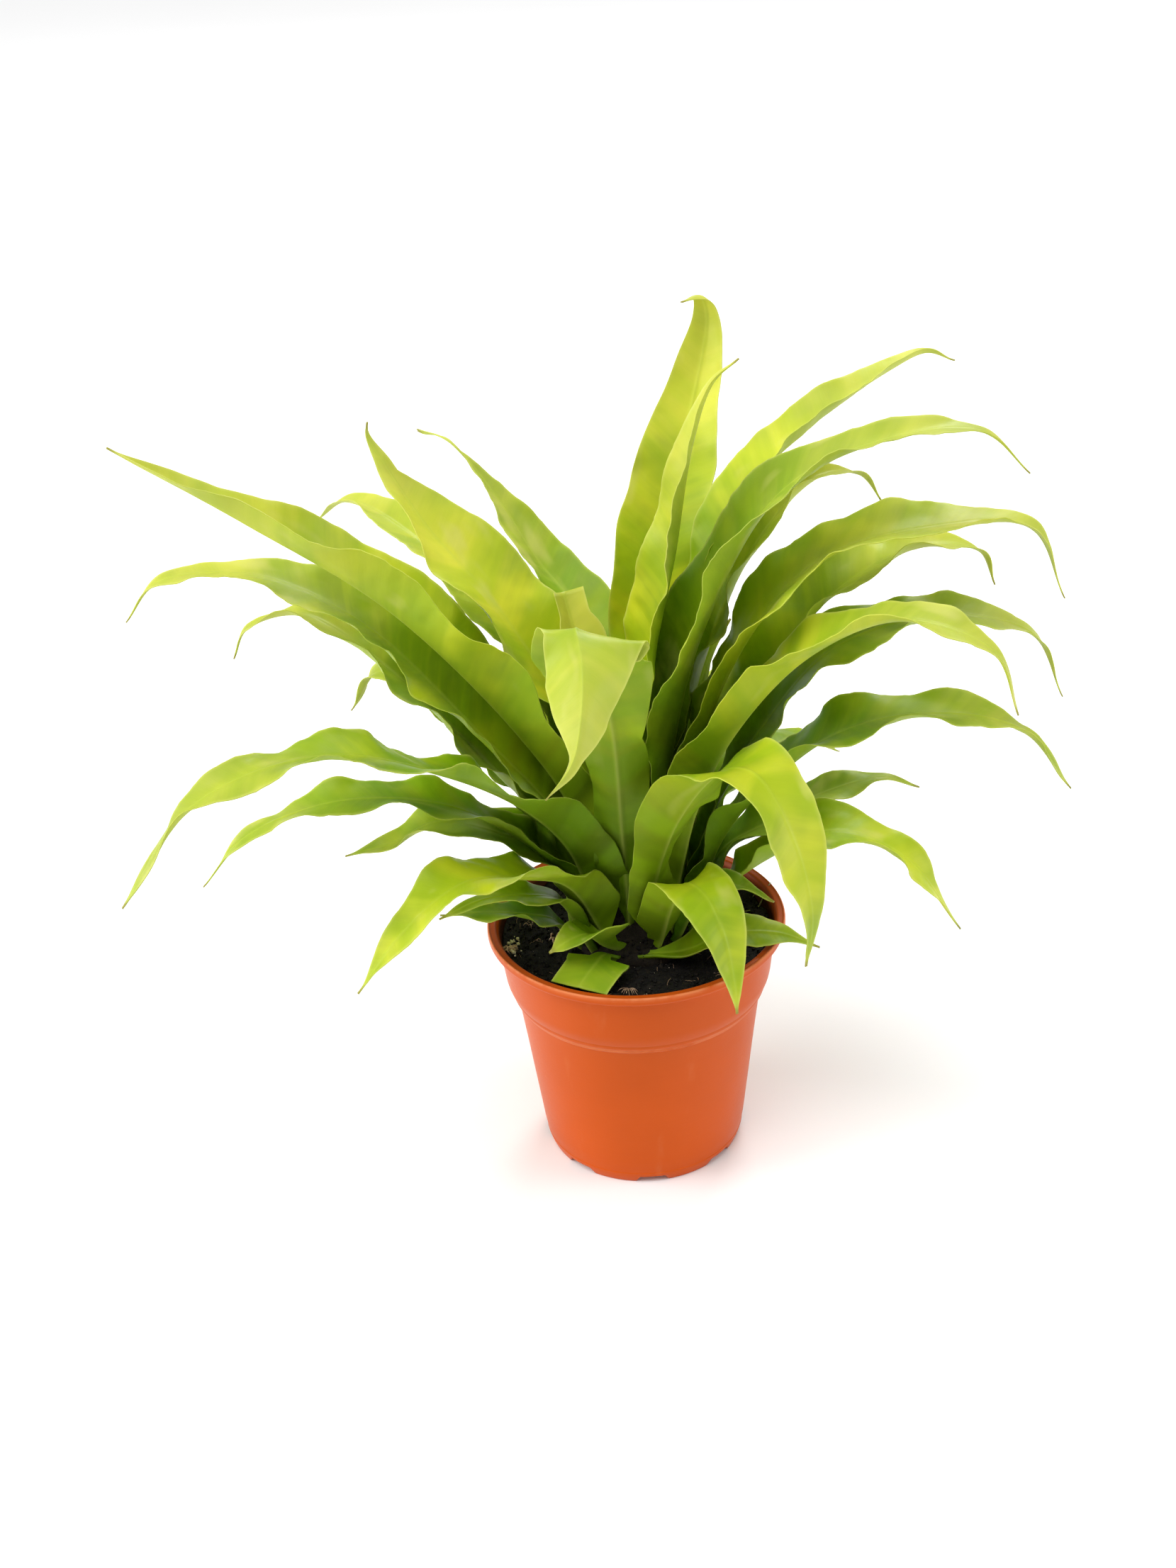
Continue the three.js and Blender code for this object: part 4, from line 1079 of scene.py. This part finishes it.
def peat_points():
    """The peat as a turned body whose top is a fine crumbly disc."""
    wall = STEP_TOP_RADIUS - WALL - PEAT_GAP
    neck = wall + 4.2
    low, high = FLOOR + 0.3, UNDERSIDE_LIFT + FLOOR + 0.3
    step = (neck - CROWN_RADIUS + 3) / PEAT_RINGS
    disc = [(neck - 0.2 - ring * step, PEAT_TOP) for ring in range(PEAT_RINGS + 1)]
    points, faces = turned([
        (0, low), (UNDERSIDE_DISC_RADIUS + 0.6, low), (UNDERSIDE_DISC_RADIUS + 3.8, high),
        (FOOT_RADIUS - WALL - 1.5, high), (FOOT_RADIUS + 1.5 - WALL - PEAT_GAP, 10),
        (STEP_LOW_RADIUS - WALL - PEAT_GAP, STEP_HEIGHT - 4), (wall, STEP_HEIGHT + 2),
        (neck, PEAT_TOP - 2.5), *disc, (CROWN_RADIUS - 3.5, CROWN_FLOOR - 0.3), (0, CROWN_FLOOR - 0.3),
    ], PEAT_STEPS)
    for point in points:
        if point[2] > PEAT_TOP - 0.01:
            point[2] = peat_height(point[0], point[1])
    return points, faces


def crown_points():
    """The crown: a low dome, rough with leaf scars and peat that clings to it."""
    radii = [CROWN_RADIUS * (1 - ring / CROWN_RINGS) for ring in range(CROWN_RINGS)]
    dome = [(radius, crown_height(radius)) for radius in radii]
    profile = [(0, CROWN_FLOOR), (CROWN_RADIUS, CROWN_FLOOR), *dome, (0, CROWN_TOP)]
    points, faces = turned(profile, CROWN_STEPS)
    for point in points:
        if point[2] > CROWN_FLOOR + 1:
            point[2] += 1.0 * rough(*point, 6) + 0.4 * rough(*point, 2) - 0.4
    return points, faces


def ball(level):
    """Points and faces of a round body of triangles."""
    made = bmesh.new()
    bmesh.ops.create_icosphere(made, subdivisions=level, radius=1)
    points = [np.array(vertex.co) for vertex in made.verts]
    faces = [[vertex.index for vertex in face.verts] for face in made.faces]
    made.free()
    return points, faces


class Heap:
    """Points in millimetres and faces that small bodies are added to, to become one piece."""

    def __init__(self):
        self.points, self.faces = [], []

    def add(self, points, faces):
        """Adds a body whose faces count its own points from 0."""
        first = len(self.points)
        self.points.extend(points)
        self.faces.extend([first + index for index in face] for face in faces)

    def strand(self, line, radius, sides=6, taper=0.4):
        """Adds a closed round strand along a line of points."""
        line = np.array(line, float)
        points, faces = [], []
        for index, (place, way) in enumerate(zip(line, unit(np.gradient(line, axis=0)))):
            aside = unit(np.cross(way, (0.13, 0.21, 0.97)))
            above = np.cross(way, aside)
            thin = radius * (1 - (1 - taper) * abs(2 * index / (len(line) - 1) - 1) ** 2)
            for side in range(sides):
                angle = 2 * math.pi * side / sides
                points.append(place + thin * (aside * math.cos(angle) + above * math.sin(angle)))
        last = (len(line) - 1) * sides
        for low in range(0, last, sides):
            for side in range(sides):
                ahead = (side + 1) % sides
                faces.append((low + side, low + ahead, low + sides + ahead, low + sides + side))
        faces.append(range(sides)[::-1])
        faces.append(range(last, last + sides))
        self.add(points, faces)

    def piece(self, name, material, slot):
        """Makes the piece."""
        mesh_piece(name, np.array(self.points) * MM, self.faces, material)


def lying_line(chance, x, y, bearing, run, lift, bend=0.6, parts=9):
    """A gently bent line that lies on the peat, in millimetres."""
    line = []
    turn = chance.uniform(-bend, bend)
    for part in range(parts):
        share = part / (parts - 1)
        angle = math.radians(bearing) + turn * share
        line.append((x, y, surface_height(x, y) + lift * math.sin(math.pi * share) + 0.3))
        x += math.cos(angle) * run / parts
        y += math.sin(angle) * run / parts
    return line


class FERN_OT_pot(bpy.types.Operator):
    """Make the moulded plastic pot"""

    bl_idname = "fern.pot"
    bl_label = "Make pot"

    def execute(self, context):
        settings = context.scene.fern_pot
        points, faces = turned(rounded(pot_profile(settings.corner / MM)), settings.steps)
        piece = mesh_piece("moulded_pot", points * MM, faces, pot_material(settings), "pot")
        cut_away(piece, foot_cutters())
        mark_pot(piece)
        return {"FINISHED"}


class FERN_OT_peat(bpy.types.Operator):
    """Make the peat, its crumbs, grains and beads, and the crown in it"""

    bl_idname = "fern.peat"
    bl_label = "Make peat"

    def execute(self, context):
        settings = context.scene.fern_peat
        chance = np.random.default_rng(settings.seed)
        peat = peat_material("damp_peat", tuple(settings.colour))
        fibre = peat_material("crown_fibre", CROWN_TONE)
        points, faces = peat_points()
        mesh_piece("peat_fill", points * MM, faces, peat, "soil")
        points, faces = crown_points()
        mesh_piece("rhizome_crown", points * MM, faces, fibre, "crown")
        self.scatter(chance, settings.crumbs, CRUMB_SIZES, "peat_crumbs", peat)
        grain = fibre_material("pale_grains")
        self.scatter(chance, settings.specks, GRAIN_SIZES, "pale_grains", grain)
        self.beads(chance, settings.beads)
        return {"FINISHED"}

    def scatter(self, chance, number, sizes, name, material):
        """Knobbly lumps all over the peat."""
        shape, faces = ball(1)
        heap = Heap()
        for _ in range(number):
            radius = math.sqrt(chance.uniform(*(reach ** 2 for reach in SCATTER_REACH)))
            place = on_bearing(chance.uniform(0, 360), radius, 0)
            size = chance.uniform(*sizes) * chance.uniform(0.6, 1)
            place[2] = surface_height(place[0], place[1]) + size * 0.3
            turn = np.linalg.qr(chance.normal(size=(3, 3)))[0]
            stretch = size * chance.uniform(0.6, 1.3, 3)
            knobs = [corner * stretch * chance.uniform(0.75, 1.2) for corner in shape]
            heap.add([place + turn @ knob for knob in knobs], faces)
        heap.piece(name, material, "peat")

    def beads(self, chance, number):
        """Round pale beads in a patch at the left, first the large ones."""
        shape, faces = ball(2)
        heap = Heap()
        for index in range(number):
            size = chance.uniform(*(LARGE_BEAD if index < LARGE_BEADS else SMALL_BEAD))
            x, y = (place + chance.normal(0, spread) for place, spread in zip(BEAD_PATCH, BEAD_SPREADS))
            if math.hypot(x, y) > BEAD_LIMIT:
                x *= BEAD_HELD / math.hypot(x, y)
            centre = np.array((x, y, surface_height(x, y) + size * 0.7))
            heap.add([centre + size * corner for corner in shape], faces)
        heap.piece("pale_beads", fibre_material("pale_beads"), "peat")


class FERN_OT_roots(bpy.types.Operator):
    """Make the loose fibres, the dry tufts and the thin roots on the peat"""

    bl_idname = "fern.roots"
    bl_label = "Make roots"

    def execute(self, context):
        settings = context.scene.fern_peat
        chance = np.random.default_rng(settings.seed + 1)
        fibres, tufts, roots = Heap(), Heap(), Heap()
        for _ in range(settings.fibres):
            bearing, radius = chance.uniform(0, 360), math.sqrt(chance.uniform(38 ** 2, 78 ** 2))
            x, y = on_bearing(bearing, radius, 0)[:2]
            line = lying_line(chance, x, y, chance.uniform(0, 360), chance.uniform(3, 9), 0.6)
            fibres.strand(line, chance.uniform(0.1, 0.2))
        for x, y, spread, number, reach, thick in DRY_TUFTS:
            for _ in range(number):
                spot = (x + chance.normal(0, spread), y + chance.normal(0, spread * 1.4))
                way, run = chance.uniform(0, 360), chance.uniform(3, reach)
                line = lying_line(chance, *spot, way, run, 2.4, 1.6)
                tufts.strand(line, chance.uniform(0.6, 1) * thick)
        for bearing in np.linspace(*FAN_BEARINGS, FAN_FIBRES):
            line = lying_line(chance, *FAN_PLACE, bearing, chance.uniform(7, 11), 1.5, 0.3)
            fibres.strand(line, 0.24)
        fibres.piece("dry_fibres", fibre_material("dry_fibre"), "crown")
        tufts.piece("lit_root_tufts", fibre_material("lit_root_tufts"), "crown")
        roots.strand(self.long_root(), 0.42, sides=8, taper=0.75)
        for root in CURLED_ROOTS:
            roots.strand(lying_line(chance, *root, 3.5, 2.6, 14), 0.34)
        roots.piece("young_roots", fibre_material("young_roots"), "crown")
        return {"FINISHED"}

    def long_root(self, parts=15):
        """A thin root that lies on the peat at the right and climbs over the rim's inner edge."""
        line = []
        for step in range(parts + 1):
            share = step / parts
            x = 60 + 24 * share
            y = 15 + 14 * share + 1.6 * math.sin(7 * share)
            climb = smooth_step(share, 0.6, 1)
            ground = surface_height(min(x, 70), y) + 0.6 + 1.2 * math.sin(3 * math.pi * share)
            line.append((x, y, ground + climb * (POT_HEIGHT + 0.3 - ground)))
        return line


class FERN_OT_fronds(bpy.types.Operator):
    """Make every frond's fine blade"""

    bl_idname = "fern.fronds"
    bl_label = "Make fronds"

    def execute(self, context):
        settings = context.scene.fern_fronds
        finishes = {}
        for green in ("bright", "lime", "green", "deep"):
            finishes[green] = blade_material(f"blade_{green}", tuple(getattr(settings, green)))
        for order, row in enumerate(FRONDS):
            frond_piece(row, settings, finishes[row["colour"]], order)
        return {"FINISHED"}


class FERN_OT_stage(bpy.types.Operator):
    """Make the floor, the soft lights and the camera"""

    bl_idname = "fern.stage"
    bl_label = "Make stage"

    def execute(self, context):
        settings = context.scene.fern_stage
        self.floor(settings)
        key = self.lamp("key_light", "SUN", settings.key, (0, 0, 0), KEY_WAY)
        key.angle = math.radians(KEY_SPREAD)
        for name, place, size, share in LAMPS:
            lamp = self.lamp(name, "AREA", settings.fill * share, place, LAMP_AIM)
            lamp.shape = "DISK"
            lamp.size = size
        world = bpy.data.worlds.new("studio")
        world.use_nodes = True
        background = world.node_tree.nodes["Background"]
        background.inputs["Color"].default_value = (1, 1, 1, 1)
        background.inputs["Strength"].default_value = settings.world
        context.scene.world = world
        self.camera(settings.focal_length)
        context.scene.view_settings.view_transform = "Standard"
        return {"FINISHED"}

    def floor(self, settings):
        """A wide white floor at the height that the pot stands on."""
        mesh = bpy.data.meshes.new("floor")
        around = ((-1, -1), (1, -1), (1, 1), (-1, 1))
        corners = [(FLOOR_REACH * x, FLOOR_REACH * y, 0) for x, y in around]
        mesh.from_pydata(corners, [], [(0, 1, 2, 3)])
        mesh.materials.append(floor_material(settings))
        place_in_scene("floor", mesh)

    def lamp(self, name, kind, power, place, aim):
        """A lamp at a place that shines towards another."""
        data = bpy.data.lights.new(name, kind)
        data.energy = power
        way = Vector(aim) - Vector(place)
        turn = way.to_track_quat("-Z", "Y").to_matrix().to_4x4()
        place_in_scene(name, data, Matrix.Translation(place) @ turn)
        return data

    def camera(self, focal_length):
        """The camera that sees the plant as the photo does."""
        data = bpy.data.cameras.new("photo_camera")
        data.sensor_width = SENSOR_WIDTH
        data.sensor_fit = "AUTO"
        data.lens = focal_length
        turns = ((-CAMERA_YAW, "Z"), (90 + CAMERA_PITCH, "X"), (CAMERA_ROLL, "Z"))
        place = Matrix.Translation(CAMERA_PLACE)
        for degrees, axis in turns:
            place = place @ Matrix.Rotation(math.radians(degrees), 4, axis)
        bpy.context.scene.camera = place_in_scene("photo_camera", data, place)


SECTIONS = (
    ("fern_pot", FernPotSettings, ("fern.pot",)),
    ("fern_peat", FernPeatSettings, ("fern.peat", "fern.roots")),
    ("fern_fronds", FernFrondSettings, ("fern.fronds",)),
    ("fern_stage", FernStageSettings, ("fern.stage",)),
)


class FERN_PT_panel(bpy.types.Panel):
    """The fern's pieces in the sidebar"""

    bl_idname = "FERN_PT_panel"
    bl_label = "Potted fern"
    bl_space_type = "VIEW_3D"
    bl_region_type = "UI"
    bl_category = "Fern"

    def draw(self, context):
        for name, _settings, operators in SECTIONS:
            box = self.layout.box()
            group = getattr(context.scene, name)
            for setting in group.__annotations__:
                box.prop(group, setting)
            for operator in operators:
                box.operator(operator)


CLASSES = (
    *(settings for _name, settings, _operators in SECTIONS),
    FERN_OT_pot, FERN_OT_peat, FERN_OT_roots, FERN_OT_fronds, FERN_OT_stage, FERN_PT_panel,
)


def register():
    for item in CLASSES:
        bpy.utils.register_class(item)
    for name, settings, _operators in SECTIONS:
        setattr(bpy.types.Scene, name, PointerProperty(type=settings))


def unregister():
    for name, _settings, _operators in SECTIONS:
        delattr(bpy.types.Scene, name)
    for item in reversed(CLASSES):
        bpy.utils.unregister_class(item)


def main():
    register()
    bpy.ops.fern.stage()
    bpy.ops.fern.pot()
    bpy.ops.fern.peat()
    bpy.ops.fern.roots()
    bpy.ops.fern.fronds()


if __name__ == "__main__":
    main()
